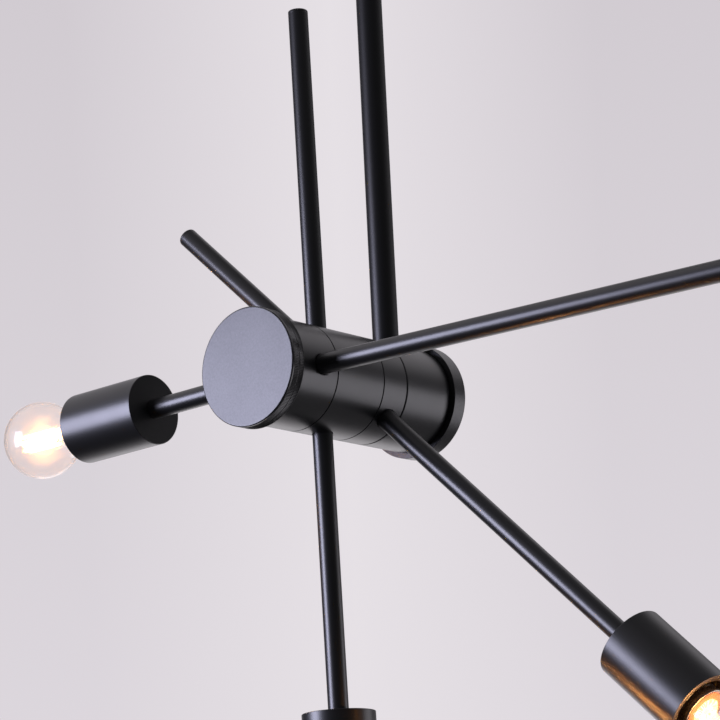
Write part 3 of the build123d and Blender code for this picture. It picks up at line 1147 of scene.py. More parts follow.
@dataclass
class CeilingEnd:
    """Canopy, collar and thumb screw, which slide on the stem together."""

    body: str = "canopy_cover"
    wall: float = 1.5 * MM
    dish_easing: float = 5.0 * MM
    rim_easing: float = 0.4 * MM
    stem_hole: float = 8.3 * MM
    collar_easing: float = 1.0 * MM
    screw_hole: float = 2.05 * MM
    shank: float = 2.0 * MM
    head_length: float = 6.0 * MM
    head_easing: float = 0.6 * MM
    head_teeth: int = 30
    knurl_inset: float = 0.54 * MM
    knurl_depth: float = 0.3 * MM
    dish_steps: int = 8
    bit_columns: int = 48
    columns: int = 160
    line: Line = field(default_factory=stem_line)

    def screw_line(self) -> Line:
        """Give the thumb screw's axis, out from the stem."""
        low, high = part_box("thumb_screw")
        return Line(Vector((0.0, 0.0, (low.z + high.z) / 2)), Vector((1.0, 0.0, 0.0)), UP.copy())

    def canopy(self) -> bpy.types.Object:
        """Turn the dished cover with its rolled lower edge.

        Returns:
            The cover in its place.
        """
        low, high = self.line.span("canopy")
        outside = self.line.reach("canopy")
        corners = [
            Corner(self.stem_hole, low, self.rim_easing),
            Corner(outside, low, self.dish_easing),
            Corner(outside, high, self.rim_easing),
            Corner(outside - self.wall, high, self.rim_easing),
            Corner(outside - self.wall, low + self.wall, self.dish_easing - self.wall),
            Corner(self.stem_hole, low + self.wall, self.rim_easing),
        ]
        return Bench.turned("canopy_shell", eased(corners, True, self.dish_steps), True, self.columns)

    def collar(self) -> bpy.types.Object:
        """Turn the collar and drill the thumb screw's hole.

        Returns:
            The collar in its place.
        """
        low, high = self.line.span("canopy_collar")
        outside = self.line.reach("canopy_collar")
        corners = [
            Corner(self.stem_hole, low, self.rim_easing),
            Corner(outside, low, self.collar_easing),
            Corner(outside, high, self.rim_easing),
            Corner(self.stem_hole, high),
        ]
        piece = Bench.lathe("canopy_collar_ring", corners, self.columns)
        drill = Bench.rod("screw_bit", self.screw_hole, 2.0 * outside, self.bit_columns)
        Bench.cut(piece, Bench.seat(drill, self.screw_line().place()))
        return piece

    def thumb_screw(self) -> bpy.types.Object:
        """Turn the thumb screw and knurl its head.

        Returns:
            The screw in its place.
        """
        line = self.screw_line()
        low, high = line.span("thumb_screw")
        head = line.reach("thumb_screw")
        neck = high - self.head_length
        corners = [
            Corner(0.0, low),
            Corner(self.shank, low, self.rim_easing),
            Corner(self.shank, neck),
            Corner(head, neck, self.head_easing),
            Corner(head, high, self.head_easing),
            Corner(0.0, high),
        ]
        columns = 2 * self.head_teeth
        piece = Bench.lathe("thumb_screw_turned", corners, columns)
        band = (neck + self.knurl_inset, high - self.knurl_inset)
        Bench.knurl(piece, [band], columns, self.knurl_depth)
        return Bench.seat(piece, line.place())

    def build(self) -> None:
        """Make and dress the pieces."""
        hand_over(self.canopy(), self.body, Slot.BLACK_STEEL, BLACK_COAT, "canopy")
        hand_over(self.collar(), self.body, Slot.BLACK_STEEL, BLACK_COAT, "canopy_collar")
        hand_over(self.thumb_screw(), self.body, Slot.BLACK_STEEL, TURNED_BLACK, "thumb_screw")


@dataclass
class Hub:
    """The stem body, the three arm rings, the knurled near cap and the plain far cap."""

    edge_easing: float = 0.25 * MM
    body_easing: float = 0.8 * MM
    row_length: float = 4.0 * MM
    bore: float = 15.1 * MM
    seat_clearance: float = 0.2 * MM
    thread_hole: float = 5.05 * MM
    tube_seat: float = 26.0 * MM
    stem_seat: float = 25.0 * MM
    rim_easing: float = 0.4 * MM
    cap_easing: float = 0.7 * MM
    cap_face: float = 3.5 * MM
    cap_land: float = 1.6 * MM
    cap_groove: float = 0.5 * MM
    cap_teeth: int = 240
    knurl_depth: float = 0.3 * MM
    bit_columns: int = 64
    columns: int = 192
    line: Line = field(default_factory=hub_line)

    def segment(self, node: str, front: float) -> bpy.types.Object:
        """Turn a plain hub segment with rows that keep its side smooth round the holes.

        Args:
            node: The CAD node that it follows.
            front: Rounding of its edge towards the near cap.

        Returns:
            The segment in its place.
        """
        low, high = self.line.span(node)
        outside = self.line.reach(node)
        rows = max(2, round((high - low) / self.row_length))
        side = [Corner(outside, low + (high - low) * row / rows) for row in range(1, rows)]
        corners = [
            Corner(self.bore, low),
            Corner(outside, low, self.edge_easing),
            *side,
            Corner(outside, high, front),
            Corner(self.bore, high),
        ]
        return Bench.seat(Bench.lathe(f"{node}_turned", corners, self.columns), self.line.place())

    def drill(self, segment: bpy.types.Object, line: Line, seat: float, tube: float) -> None:
        """Drill a seat and its thread hole into a segment.

        Args:
            segment: The hub segment in its place.
            line: The hole's axis, from the hub's axis outwards.
            seat: Distance of the seat from the hub's axis.
            tube: Radius of the tube that goes in.
        """
        wide = tube + self.seat_clearance
        far = 2.0 * seat
        corners = [
            Corner(0.0, 0.0),
            Corner(self.thread_hole, 0.0),
            Corner(self.thread_hole, seat),
            Corner(wide, seat),
            Corner(wide, far),
            Corner(0.0, far),
        ]
        bit = Bench.lathe("seat_bit", corners, self.bit_columns)
        Bench.cut(segment, Bench.seat(bit, line.place()))
        Bench.ease_rim(segment, self.line, line, wide, self.rim_easing)

    def stem_body(self) -> bpy.types.Object:
        """Make the fixed segment with the stem's seat on top.

        Returns:
            The segment in its place.
        """
        segment = self.segment("stem_body", self.body_easing)
        stem = Line(self.line.origin.copy(), UP.copy(), Vector((1.0, 0.0, 0.0)))
        self.drill(segment, stem, self.stem_seat, stem_line().reach("lower_stem"))
        return segment

    def ring(self, name: str) -> bpy.types.Object:
        """Make an arm's ring with a seat for each of its tubes.

        Args:
            name: The arm's letter.

        Returns:
            The ring in its place.
        """
        segment = self.segment(f"ring_{name}", self.edge_easing)
        for line in (arm_line(name), tail_line(name)):
            self.drill(segment, line, self.tube_seat, arm_line(name).reach(f"lamp_tube_{name}"))
        return segment

    def far_cap(self) -> bpy.types.Object:
        """Make the plain cap behind the stem body.

        Returns:
            The cap in its place.
        """
        line = Line(self.line.origin, -self.line.direction, self.line.across)
        low, high = line.span("far_cap")
        outside = line.reach("far_cap")
        floor = high - self.cap_face
        corners = [
            Corner(0.0, floor),
            Corner(self.bore, floor),
            Corner(self.bore, low),
            Corner(outside, low, self.edge_easing),
            Corner(outside, high, self.cap_easing),
            Corner(0.0, high),
        ]
        return Bench.seat(Bench.lathe("far_cap_turned", corners, self.columns), line.place())

    def near_cap(self) -> bpy.types.Object:
        """Make the cap with two knurled bands, a groove between them and a plain land at its face.

        Returns:
            The cap in its place.
        """
        low, high = self.line.span("near_cap")
        outside = self.line.reach("near_cap")
        middle = (low + high - self.cap_land) / 2
        groove = self.cap_groove / 2
        land = high - self.cap_land
        floor = high - self.cap_face
        waist = outside - self.knurl_depth
        corners = [
            Corner(0.0, floor),
            Corner(self.bore, floor),
            Corner(self.bore, low),
            Corner(outside, low, self.cap_easing),
            Corner(outside, middle - groove),
            Corner(waist, middle - groove),
            Corner(waist, middle + groove),
            Corner(outside, middle + groove),
            Corner(outside, land - groove),
            Corner(waist, land - groove / 2),
            Corner(outside, land),
            Corner(outside, high, self.cap_easing),
            Corner(0.0, high),
        ]
        columns = 2 * self.cap_teeth
        piece = Bench.lathe("near_cap_turned", corners, columns)
        slack = groove / 2
        bands = [(low + self.cap_easing, middle - slack), (middle + slack, land - slack)]
        Bench.knurl(piece, bands, columns, self.knurl_depth)
        return Bench.seat(piece, self.line.place())

    def build(self) -> None:
        """Make and dress the hub's pieces."""
        hand_over(self.stem_body(), "fixture", Slot.BLACK_ALUMINIUM, BLACK_COAT, "stem_body")
        for name in ARM_NAMES:
            hand_over(self.ring(name), f"arm_{name}", Slot.BLACK_ALUMINIUM, BLACK_COAT, f"ring_{name}")
        hand_over(self.near_cap(), "near_knob", Slot.BLACK_ALUMINIUM, TURNED_BLACK, "near_cap")
        hand_over(self.far_cap(), "far_knob", Slot.BLACK_ALUMINIUM, TURNED_BLACK, "far_cap")


@dataclass
class Arm:
    """One arm: its lamp tube, its tail tube with a plug, and the lamp cup with its lampholder."""

    name: str
    wall: float = 1.5 * MM
    tapped_length: float = 10.5 * MM
    thread_hole: float = 5.05 * MM
    end_easing: float = 0.3 * MM
    plug_head: float = 2.0 * MM
    plug_easing: float = 0.8 * MM
    plug_clearance: float = 0.05 * MM
    cup_wall: float = 1.8 * MM
    cup_back_easing: float = 0.4 * MM
    cup_lip_easing: float = 0.15 * MM
    holder_boss: float = 15.0 * MM
    holder_boss_length: float = 14.0 * MM
    holder_rear_wall: float = 7.0 * MM
    holder_chamber: float = 10.0 * MM
    holder_web: float = 4.0 * MM
    holder_entry: float = 17.2 * MM
    holder_entry_depth: float = 7.4 * MM
    holder_easing: float = 0.4 * MM
    shell_clearance: float = 0.05 * MM
    tube_columns: int = 64
    cup_columns: int = 128

    def __post_init__(self) -> None:
        """Measure the arm's own lines and body."""
        self.line = arm_line(self.name)
        self.tail = tail_line(self.name)
        self.body = f"arm_{self.name}"

    def node(self, piece: str) -> str:
        """Give the CAD node's name of one of the arm's pieces."""
        return f"{piece}_{self.name}"

    def lamp_tube(self) -> bpy.types.Object:
        """Turn the lamp tube, tapped at both ends.

        Returns:
            The tube, standing about Z.
        """
        low, high = self.line.span(self.node("lamp_tube"))
        outside = self.line.reach(self.node("lamp_tube"))
        inside = outside - self.wall
        corners = [
            Corner(self.thread_hole, low),
            Corner(outside, low, self.end_easing),
            Corner(outside, high, self.end_easing),
            Corner(self.thread_hole, high),
            Corner(self.thread_hole, high - self.tapped_length),
            Corner(inside, high - self.tapped_length),
            Corner(inside, low + self.tapped_length),
            Corner(self.thread_hole, low + self.tapped_length),
        ]
        return Bench.lathe(self.node("lamp_tube") + "_turned", corners, self.tube_columns)

    def tail_tube(self) -> bpy.types.Object:
        """Turn the tail tube, tapped at the ring.

        Returns:
            The tube, standing about Z.
        """
        low, high = self.tail.span(self.node("tail_tube"))
        outside = self.tail.reach(self.node("tail_tube"))
        inside = outside - self.wall
        corners = [
            Corner(self.thread_hole, low),
            Corner(outside, low, self.end_easing),
            Corner(outside, high, self.end_easing / 2),
            Corner(inside, high),
            Corner(inside, low + self.tapped_length),
            Corner(self.thread_hole, low + self.tapped_length),
        ]
        return Bench.lathe(self.node("tail_tube") + "_turned", corners, self.tube_columns)

    def tail_plug(self) -> bpy.types.Object:
        """Turn the plug that closes the tail tube.

        Returns:
            The plug, standing about Z.
        """
        low, high = self.tail.span(self.node("tail_plug"))
        outside = self.tail.reach(self.node("tail_plug"))
        spigot = outside - self.wall - self.plug_clearance
        shoulder = high - self.plug_head
        corners = [
            Corner(0.0, low),
            Corner(spigot, low, self.end_easing),
            Corner(spigot, shoulder),
            Corner(outside, shoulder, self.end_easing / 2),
            Corner(outside, high, self.plug_easing),
            Corner(0.0, high),
        ]
        return Bench.lathe(self.node("tail_plug") + "_turned", corners, self.tube_columns)

    def lamp_cup(self) -> bpy.types.Object:
        """Turn the cup round the lampholder.

        Returns:
            The cup, standing about Z.
        """
        low, high = self.line.span(self.node("lamp_cup"))
        outside = self.line.reach(self.node("lamp_cup"))
        inside = outside - self.cup_wall
        floor = low + self.cup_wall
        corners = [
            Corner(self.thread_hole, low),
            Corner(outside, low, self.cup_back_easing),
            Corner(outside, high, self.cup_lip_easing),
            Corner(inside, high, self.cup_lip_easing),
            Corner(inside, floor, self.cup_lip_easing),
            Corner(self.thread_hole, floor),
        ]
        return Bench.lathe(self.node("lamp_cup") + "_turned", corners, self.cup_columns)

    def lampholder(self) -> bpy.types.Object:
        """Turn the lampholder with its wiring chamber and its socket.

        Returns:
            The lampholder, standing about Z.
        """
        low, high = self.line.span(self.node("lampholder"))
        outside = self.line.reach(self.node("lampholder"))
        floor = self.line.span(self.node("socket_contacts"))[0]
        socket = self.line.reach(self.node("socket_contacts")) + self.shell_clearance
        rear = low + self.holder_rear_wall
        shoulder = low + self.holder_boss_length
        step = high - self.holder_entry_depth
        corners = [
            Corner(0.0, floor - self.holder_web),
            Corner(self.holder_chamber, floor - self.holder_web),
            Corner(self.holder_chamber, rear),
            Corner(self.thread_hole, rear),
            Corner(self.thread_hole, low),
            Corner(self.holder_boss, low, self.holder_easing),
            Corner(self.holder_boss, shoulder),
            Corner(outside, shoulder, self.holder_easing),
            Corner(outside, high, self.holder_easing),
            Corner(self.holder_entry, high, self.holder_easing),
            Corner(self.holder_entry, step, self.holder_easing),
            Corner(socket, step, self.holder_easing),
            Corner(socket, floor),
            Corner(0.0, floor),
        ]
        return Bench.lathe(self.node("lampholder") + "_turned", corners, self.cup_columns)

    def build(self) -> None:
        """Make and dress the arm's pieces."""
        makers = {
            "lamp_tube": (self.lamp_tube, self.line, Slot.BLACK_STEEL, BLACK_COAT),
            "tail_tube": (self.tail_tube, self.tail, Slot.BLACK_STEEL, BLACK_COAT),
            "tail_plug": (self.tail_plug, self.tail, Slot.BLACK_STEEL, BLACK_COAT),
            "lamp_cup": (self.lamp_cup, self.line, Slot.BLACK_STEEL, BLACK_COAT),
            "lampholder": (self.lampholder, self.line, Slot.BLACK_PLASTIC, BLACK_MOULDING),
        }
        for piece, (make, line, slot, finish) in makers.items():
            made = Bench.seat(make(), line.place())
            hand_over(made, self.body, slot, finish, self.node(piece))


@dataclass
class Bulb:
    """A clear globe bulb with straight filaments and a screw base."""

    name: str
    neck: float = 12.8 * MM
    flare: float = 14.0 * MM
    glass: float = 0.7 * MM
    flare_steps: int = 8
    globe_steps: int = 40
    base: float = 13.05 * MM
    base_wall: float = 0.5 * MM
    thread_depth: float = 0.9 * MM
    thread_pitch: float = 3.6 * MM
    thread_columns: int = 48
    wave_steps: int = 8
    collar_length: float = 3.0 * MM
    skirt: float = 3.0 * MM
    skirt_easing: float = 0.35 * MM
    ledge_depth: float = 0.8 * MM
    glass_gap: float = 0.05 * MM
    edge_easing: float = 0.3 * MM
    thin_easing: float = 0.2 * MM
    cone_length: float = 2.4 * MM
    cone_easing: float = 0.5 * MM
    tip: float = 4.8 * MM
    tip_button: float = 0.6 * MM
    tip_height: float = 0.9 * MM
    tip_easing: float = 0.5 * MM
    shield: float = 11.9 * MM
    shield_hole: float = 3.0 * MM
    shield_thickness: float = 0.8 * MM
    mount_stem: float = 2.5 * MM
    mount_end_easing: float = 0.8 * MM
    mount_foot: float = 8.0 * MM
    mount_rim: float = 1.0 * MM
    mount_flare: float = 7.0 * MM
    mount_flare_easing: float = 5.0 * MM
    bead_waist: float = 2.0 * MM
    bead_length: float = 2.0 * MM
    bead_easing: float = 1.2 * MM
    filament: float = 0.95 * MM
    filament_easing: float = 0.5 * MM
    filament_circle: float = 4.8 * MM
    filament_count: int = 6
    filament_columns: int = 20
    pin: float = 0.3 * MM
    pin_length: float = 1.6 * MM
    wire_root: float = 1.0 * MM
    wire_columns: int = 12
    small_columns: int = 48
    columns: int = 96
    lamp_size: float = 10.0 * MM
    lamp_power: float = 0.6
    lamp_colour: Colour = (1.0, 0.40, 0.10)

    def __post_init__(self) -> None:
        """Measure the bulb's own line, body and main places."""
        self.line = arm_line(self.name)
        self.body = f"bulb_{self.name}"
        self.mouth = self.line.span(f"lamp_cup_{self.name}")[1]
        self.globe = self.line.reach(f"bulb_glass_{self.name}")
        self.globe_centre = self.line.span(f"bulb_glass_{self.name}")[1] - self.globe
        self.glass_foot = self.line.span(f"bulb_glass_{self.name}")[0]
        self.base_end = self.line.span(f"bulb_base_{self.name}")[0]
        self.low, self.high = self.line.span(f"bulb_filaments_{self.name}")

    def glass_side(self, inset: float) -> list[Vector]:
        """Draw one wall of the glass from its foot to its crown.

        Args:
            inset: How far the wall lies inside the outer one.

        Returns:
            The wall's points.
        """
        neck = self.neck - inset
        globe = self.globe - inset
        flare = self.flare + inset
        drop = math.sqrt((globe + flare) ** 2 - (neck + flare) ** 2)
        flare_centre = Vector((neck + flare, 0.0, self.globe_centre - drop))
        globe_centre = Vector((0.0, 0.0, self.globe_centre))
        waist = Vector((neck, 0.0, flare_centre.z))
        meeting = globe_centre + (flare_centre - globe_centre).normalized() * globe
        crown = globe_centre + UP * globe
        return [
            Vector((neck, 0.0, self.glass_foot)),
            *arc(flare_centre, waist, meeting, self.flare_steps),
            *arc(globe_centre, meeting, crown, self.globe_steps)[1:],
        ]

    def glass_shell(self) -> bpy.types.Object:
        """Turn the globe as a shell of two walls.

        Returns:
            The shell, standing about Z.
        """
        outer = self.glass_side(0.0)
        inner = self.glass_side(self.glass)
        return Bench.turned(f"bulb_glass_{self.name}_shell", outer[::-1] + inner, False, self.columns)

    def thread_wave(self, foot: float) -> list[Vector]:
        """Draw one wave of the screw thread, just under the threaded part.

        Args:
            foot: Where the threaded part starts.

        Returns:
            The wave's points.
        """
        middle = self.base - self.thread_depth / 2
        wave = []
        for step in range(self.wave_steps + 1):
            swing = math.cos(math.tau * step / self.wave_steps) * self.thread_depth / 2
            height = foot - self.thread_pitch * (1 - step / self.wave_steps)
            wave.append(Vector((middle + swing, 0.0, height)))
        return wave

    def thread(self) -> bpy.types.Object:
        """Roll the screw thread of the base from one wave, with flat cut ends and a thin wall.

        Returns:
            The threaded shell, standing about Z.
        """
        start = self.mouth - self.collar_length
        foot = self.base_end + self.cone_length
        shell = Bench.trace(f"bulb_base_{self.name}_thread", self.thread_wave(foot))
        bpy.ops.object.mode_set(mode="OBJECT")
        Bench.modify(
            shell,
            "SCREW",
            axis="Z",
            angle=math.tau,
            screw_offset=self.thread_pitch,
            iterations=math.ceil((start - foot) / self.thread_pitch) + 2,
            steps=self.thread_columns,
            render_steps=self.thread_columns,
            use_merge_vertices=True,
            merge_threshold=Bench.MERGE,
        )
        bpy.ops.object.mode_set(mode="EDIT")
        for height, direction in ((foot, -1.0), (start, 1.0)):
            plane = {"plane_co": (0.0, 0.0, height), "plane_no": (0.0, 0.0, direction)}
            bpy.ops.mesh.select_all(action="SELECT")
            bpy.ops.mesh.bisect(**plane, clear_outer=True, use_fill=False)
        Bench.seal()
        Bench.modify(shell, "SOLIDIFY", thickness=self.base_wall / 2, offset=-1.0)
        return shell

    def base_collar(self) -> bpy.types.Object:
        """Turn the plain collar of the base with the skirt that holds the glass.

        Returns:
            The collar, standing about Z.
        """
        top = self.mouth + self.skirt
        ledge = top - self.ledge_depth
        foot = self.mouth - self.collar_length
        outside = self.line.reach(f"bulb_base_{self.name}")
        inside = self.base - self.thread_depth - self.base_wall
        glass = self.neck + self.glass_gap
        corners = [
            Corner(inside, foot),
            Corner(self.base, foot, self.edge_easing),
            Corner(self.base, self.mouth, self.edge_easing),
            Corner(outside, self.mouth, self.edge_easing),
            Corner(outside, top, self.skirt_easing),
            Corner(glass, top, self.thin_easing),
            Corner(glass, ledge),
            Corner(inside, ledge),
        ]
        return Bench.lathe(f"bulb_base_{self.name}_collar", corners, self.columns)

    def base_insulator(self) -> bpy.types.Object:
        """Turn the dark glass end of the base.

        Returns:
            The end piece, standing about Z.
        """
        button = self.base_end + self.tip_button
        rim = self.base_end + self.cone_length
        top = rim + self.cone_length / 2
        wide = self.base - self.thread_depth
        corners = [
            Corner(0.0, button),
            Corner(self.tip, button, self.edge_easing),
            Corner(wide, rim, self.cone_easing),
            Corner(wide, top),
            Corner(0.0, top),
        ]
        return Bench.lathe(f"bulb_base_{self.name}_insulator", corners, self.columns)

    def base_tip(self) -> bpy.types.Object:
        """Turn the soldered tip contact.

        Returns:
            The contact, standing about Z.
        """
        top = self.base_end + self.tip_height
        corners = [
            Corner(0.0, self.base_end),
            Corner(self.tip, self.base_end, self.tip_easing),
            Corner(self.tip, top),
            Corner(0.0, top),
        ]
        return Bench.lathe(f"bulb_base_{self.name}_tip", corners, self.small_columns)

    def heat_shield(self) -> bpy.types.Object:
        """Turn the mica disc on the base's ledge, which keeps the base cool and glows in the light.

        Returns:
            The disc, standing about Z.
        """
        top = self.glass_foot + self.shield_thickness
        corners = [
            Corner(self.shield_hole, self.glass_foot),
            Corner(self.shield, self.glass_foot, self.thin_easing),
            Corner(self.shield, top, self.thin_easing),
            Corner(self.shield_hole, top),
        ]
        return Bench.lathe(f"bulb_shield_{self.name}", corners, self.columns)

    def mount(self) -> bpy.types.Object:
        """Turn the glass mount: a trumpet that stands on the shield and a slim rod up to its bead.

        Returns:
            The mount, standing about Z.
        """
        low, high = self.line.span(f"bulb_mount_{self.name}")
        shelf = self.glass_foot + self.shield_thickness
        corners = [
            Corner(0.0, low),
            Corner(self.mount_stem, low, self.mount_end_easing),
            Corner(self.mount_stem, shelf),
            Corner(self.mount_foot, shelf, self.edge_easing),
            Corner(self.mount_foot, shelf + self.mount_rim, self.edge_easing),
            Corner(self.mount_stem, shelf + self.mount_flare, self.mount_flare_easing),
            Corner(self.bead_waist, high - self.bead_length, self.bead_length),
            Corner(self.mount_stem, high, self.bead_easing),
            Corner(0.0, high),
        ]
        return Bench.lathe(f"bulb_mount_{self.name}_glass", corners, self.small_columns)

    def spoke(self, angle: float, height: float, lift: float) -> bpy.types.Object:
        """Make a carrier wire from the mount's rod to a filament's pin.

        Args:
            angle: Direction of the wire round the mount.
            height: Where it meets the pin.
            lift: How far its inner end lies above that.

        Returns:
            The wire, standing about the bulb's axis.
        """
        outer = Vector((self.filament_circle, 0.0, height))
        inner = Vector((self.wire_root, 0.0, height + lift))
        run = outer - inner
        corners = [
            Corner(0.0, 0.0),
            Corner(self.pin, 0.0, self.pin / 2),
            Corner(self.pin, run.length, self.pin / 2),
            Corner(0.0, run.length),
        ]
        wire = Bench.lathe("carrier_wire", corners, self.wire_columns)
        along = Line(inner, run.normalized(), Vector((0.0, 1.0, 0.0)))
        return Bench.seat(wire, Matrix.Rotation(angle, 4, "Z") @ along.place())

    def wires(self) -> bpy.types.Object:
        """Make the star of carrier wires at both ends of the filaments.

        Returns:
            The wires in one piece, standing about Z.
        """
        spokes = []
        for index in range(self.filament_count):
            angle = math.tau * index / self.filament_count
            spokes.append(self.spoke(angle, self.low, -self.pin_length))
            spokes.append(self.spoke(angle, self.high, self.pin_length / 2))
        return Bench.join(f"bulb_wires_{self.name}", spokes)

    def filaments(self) -> bpy.types.Object:
        """Make the glowing sticks in a circle round the mount.

        Returns:
            The sticks in one piece, standing about Z.
        """
        foot = self.low + self.pin_length
        top = self.high - self.pin_length
        corners = [
            Corner(0.0, self.low),
            Corner(self.pin, self.low),
            Corner(self.pin, foot),
            Corner(self.filament, foot, self.filament_easing),
            Corner(self.filament, top, self.filament_easing),
            Corner(self.pin, top),
            Corner(self.pin, self.high),
            Corner(0.0, self.high),
        ]
        aside = Matrix.Translation((self.filament_circle, 0.0, 0.0))
        sticks = []
        for index in range(self.filament_count):
            turn = Matrix.Rotation(math.tau * index / self.filament_count, 4, "Z")
            stick = Bench.lathe("filament_stick", corners, self.filament_columns)
            sticks.append(Bench.seat(stick, turn @ aside))
        return Bench.join(f"bulb_filaments_{self.name}_sticks", sticks)

    def lamp(self, carrier: bpy.types.Object) -> None:
        """Put a soft warm lamp at the filaments, which moves with them.

        Args:
            carrier: The piece that the lamp moves with.
        """
        data = bpy.data.lights.new(f"lamp_glow_{self.name}", "POINT")
        data.energy = self.lamp_power
        data.color = self.lamp_colour
        data.shadow_soft_size = self.lamp_size
        lamp = bpy.data.objects.new(data.name, data)
        bpy.context.scene.collection.objects.link(lamp)
        lamp.location = self.line.origin + self.line.direction * (self.low + self.high) / 2
        lamp.visible_camera = False
        lamp.visible_transmission = False
        lamp.parent = carrier

    def build(self) -> None:
        """Make and dress the bulb's pieces. The lamp gives the light that the sticks would give."""
        place = self.line.place()
        pieces = [
            (self.glass_shell(), Slot.CLEAR_GLASS, GLOBE_GLASS, (f"bulb_glass_{self.name}",)),
            (self.base_collar(), Slot.BASE_METAL, BASE_METAL, (f"bulb_base_{self.name}",)),
            (self.thread(), Slot.BASE_METAL, BASE_METAL, ()),
            (self.base_insulator(), Slot.BLACK_PLASTIC, INSULATOR, ()),
            (self.base_tip(), Slot.BASE_METAL, BASE_METAL, ()),
            (self.heat_shield(), Slot.BLACK_PLASTIC, MICA, ()),
            (self.mount(), Slot.CLEAR_GLASS, MOUNT_GLASS, (f"bulb_mount_{self.name}",)),
            (self.wires(), Slot.STEEL, ZINC_STEEL, ()),
        ]
        for piece, slot, finish, nodes in pieces:
            hand_over(Bench.seat(piece, place), self.body, slot, finish, *nodes)
        sticks = Bench.seat(self.filaments(), place)
        hand_over(sticks, self.body, Slot.FILAMENT, FILAMENT_GLOW, f"bulb_filaments_{self.name}")
        sticks.visible_diffuse = False
        sticks.visible_glossy = False
        self.lamp(sticks)


@dataclass
class Inside:
    """The CAD nodes that keep their shape: bracket, wiring, axle, washers, nipples and contacts."""

    finishes: dict[str, Finish] = field(
        default_factory=lambda: {
            "ceiling_bracket": ZINC_STEEL,
            "hanger_nut": ZINC_STEEL,
            "earth_screw": BRASS,
            "terminal_block": WHITE_MOULDING,
            "stem_bushes": ZINC_STEEL,
            "stem_nipples": ZINC_STEEL,
            "supply_cable": SHEATH,
            "hub_loom": SHEATH,
            "hub_axle": ZINC_STEEL,
            "friction_washers": BLACK_NYLON,
            "near_washer": BLACK_NYLON,
            "far_washer": BLACK_NYLON,
            "arm_nipples": ZINC_STEEL,
            "arm_lead": SHEATH,
            "socket_contacts": BRASS,
        }
    )

    def build(self) -> None:
        """Dress each node that is still shown."""
        for node, piece in frame["nodes"].items():
            for start, finish in self.finishes.items():
                if node.startswith(start) and not piece.hide_render:
                    finish.dress(piece)
                    LOG.info("%s: CAD node in %s", node, finish.name)


@dataclass(frozen=True)
class Softbox:
    """A large flat lamp that faces the light. Its angles count from +X towards +Y and up from level."""

    name: str
    azimuth: float
    rise: float
    width: float
    height: float
    distance: float
    power: float
    colour: Colour

    def hang(self, target: Vector) -> None:
        """Hang the lamp at its distance from the target and turn it there.

        Args:
            target: The point that it faces.
        """
        data = bpy.data.lights.new(self.name, "AREA")
        data.shape = "RECTANGLE"
        data.size = self.width
        data.size_y = self.height
        data.energy = self.power
        data.color = self.colour
        level = math.cos(self.rise)
        along = math.cos(self.azimuth) * level
        aside = math.sin(self.azimuth) * level
        outward = Vector((along, aside, math.sin(self.rise)))
        lamp = bpy.data.objects.new(self.name, data)
        lamp.location = target + outward * self.distance
        lamp.rotation_euler = outward.to_track_quat("Z", "Y").to_euler()
        lamp.visible_camera = False
        lamp.visible_transmission = False
        bpy.context.scene.collection.objects.link(lamp)


KEY = Softbox(
    name="key_softbox",
    azimuth=math.radians(232.0),
    rise=math.radians(1.0),
    width=0.52,
    height=0.58,
    distance=1.1,
    power=10.8,
    colour=(0.75, 0.755, 1.0),
)
RIM = Softbox(
    name="rim_softbox",
    azimuth=math.radians(50.0),
    rise=math.radians(-11.0),
    width=1.2,
    height=1.3,
    distance=2.2,
    power=8.2,
    colour=(0.95, 0.92, 1.0),
)
LOW = Softbox(
    name="low_softbox",
    azimuth=math.radians(129.0),
    rise=math.radians(-19.0),
    width=1.2,
    height=0.8,
    distance=2.2,
    power=2.6,
    colour=(1.0, 0.97, 1.0),
)


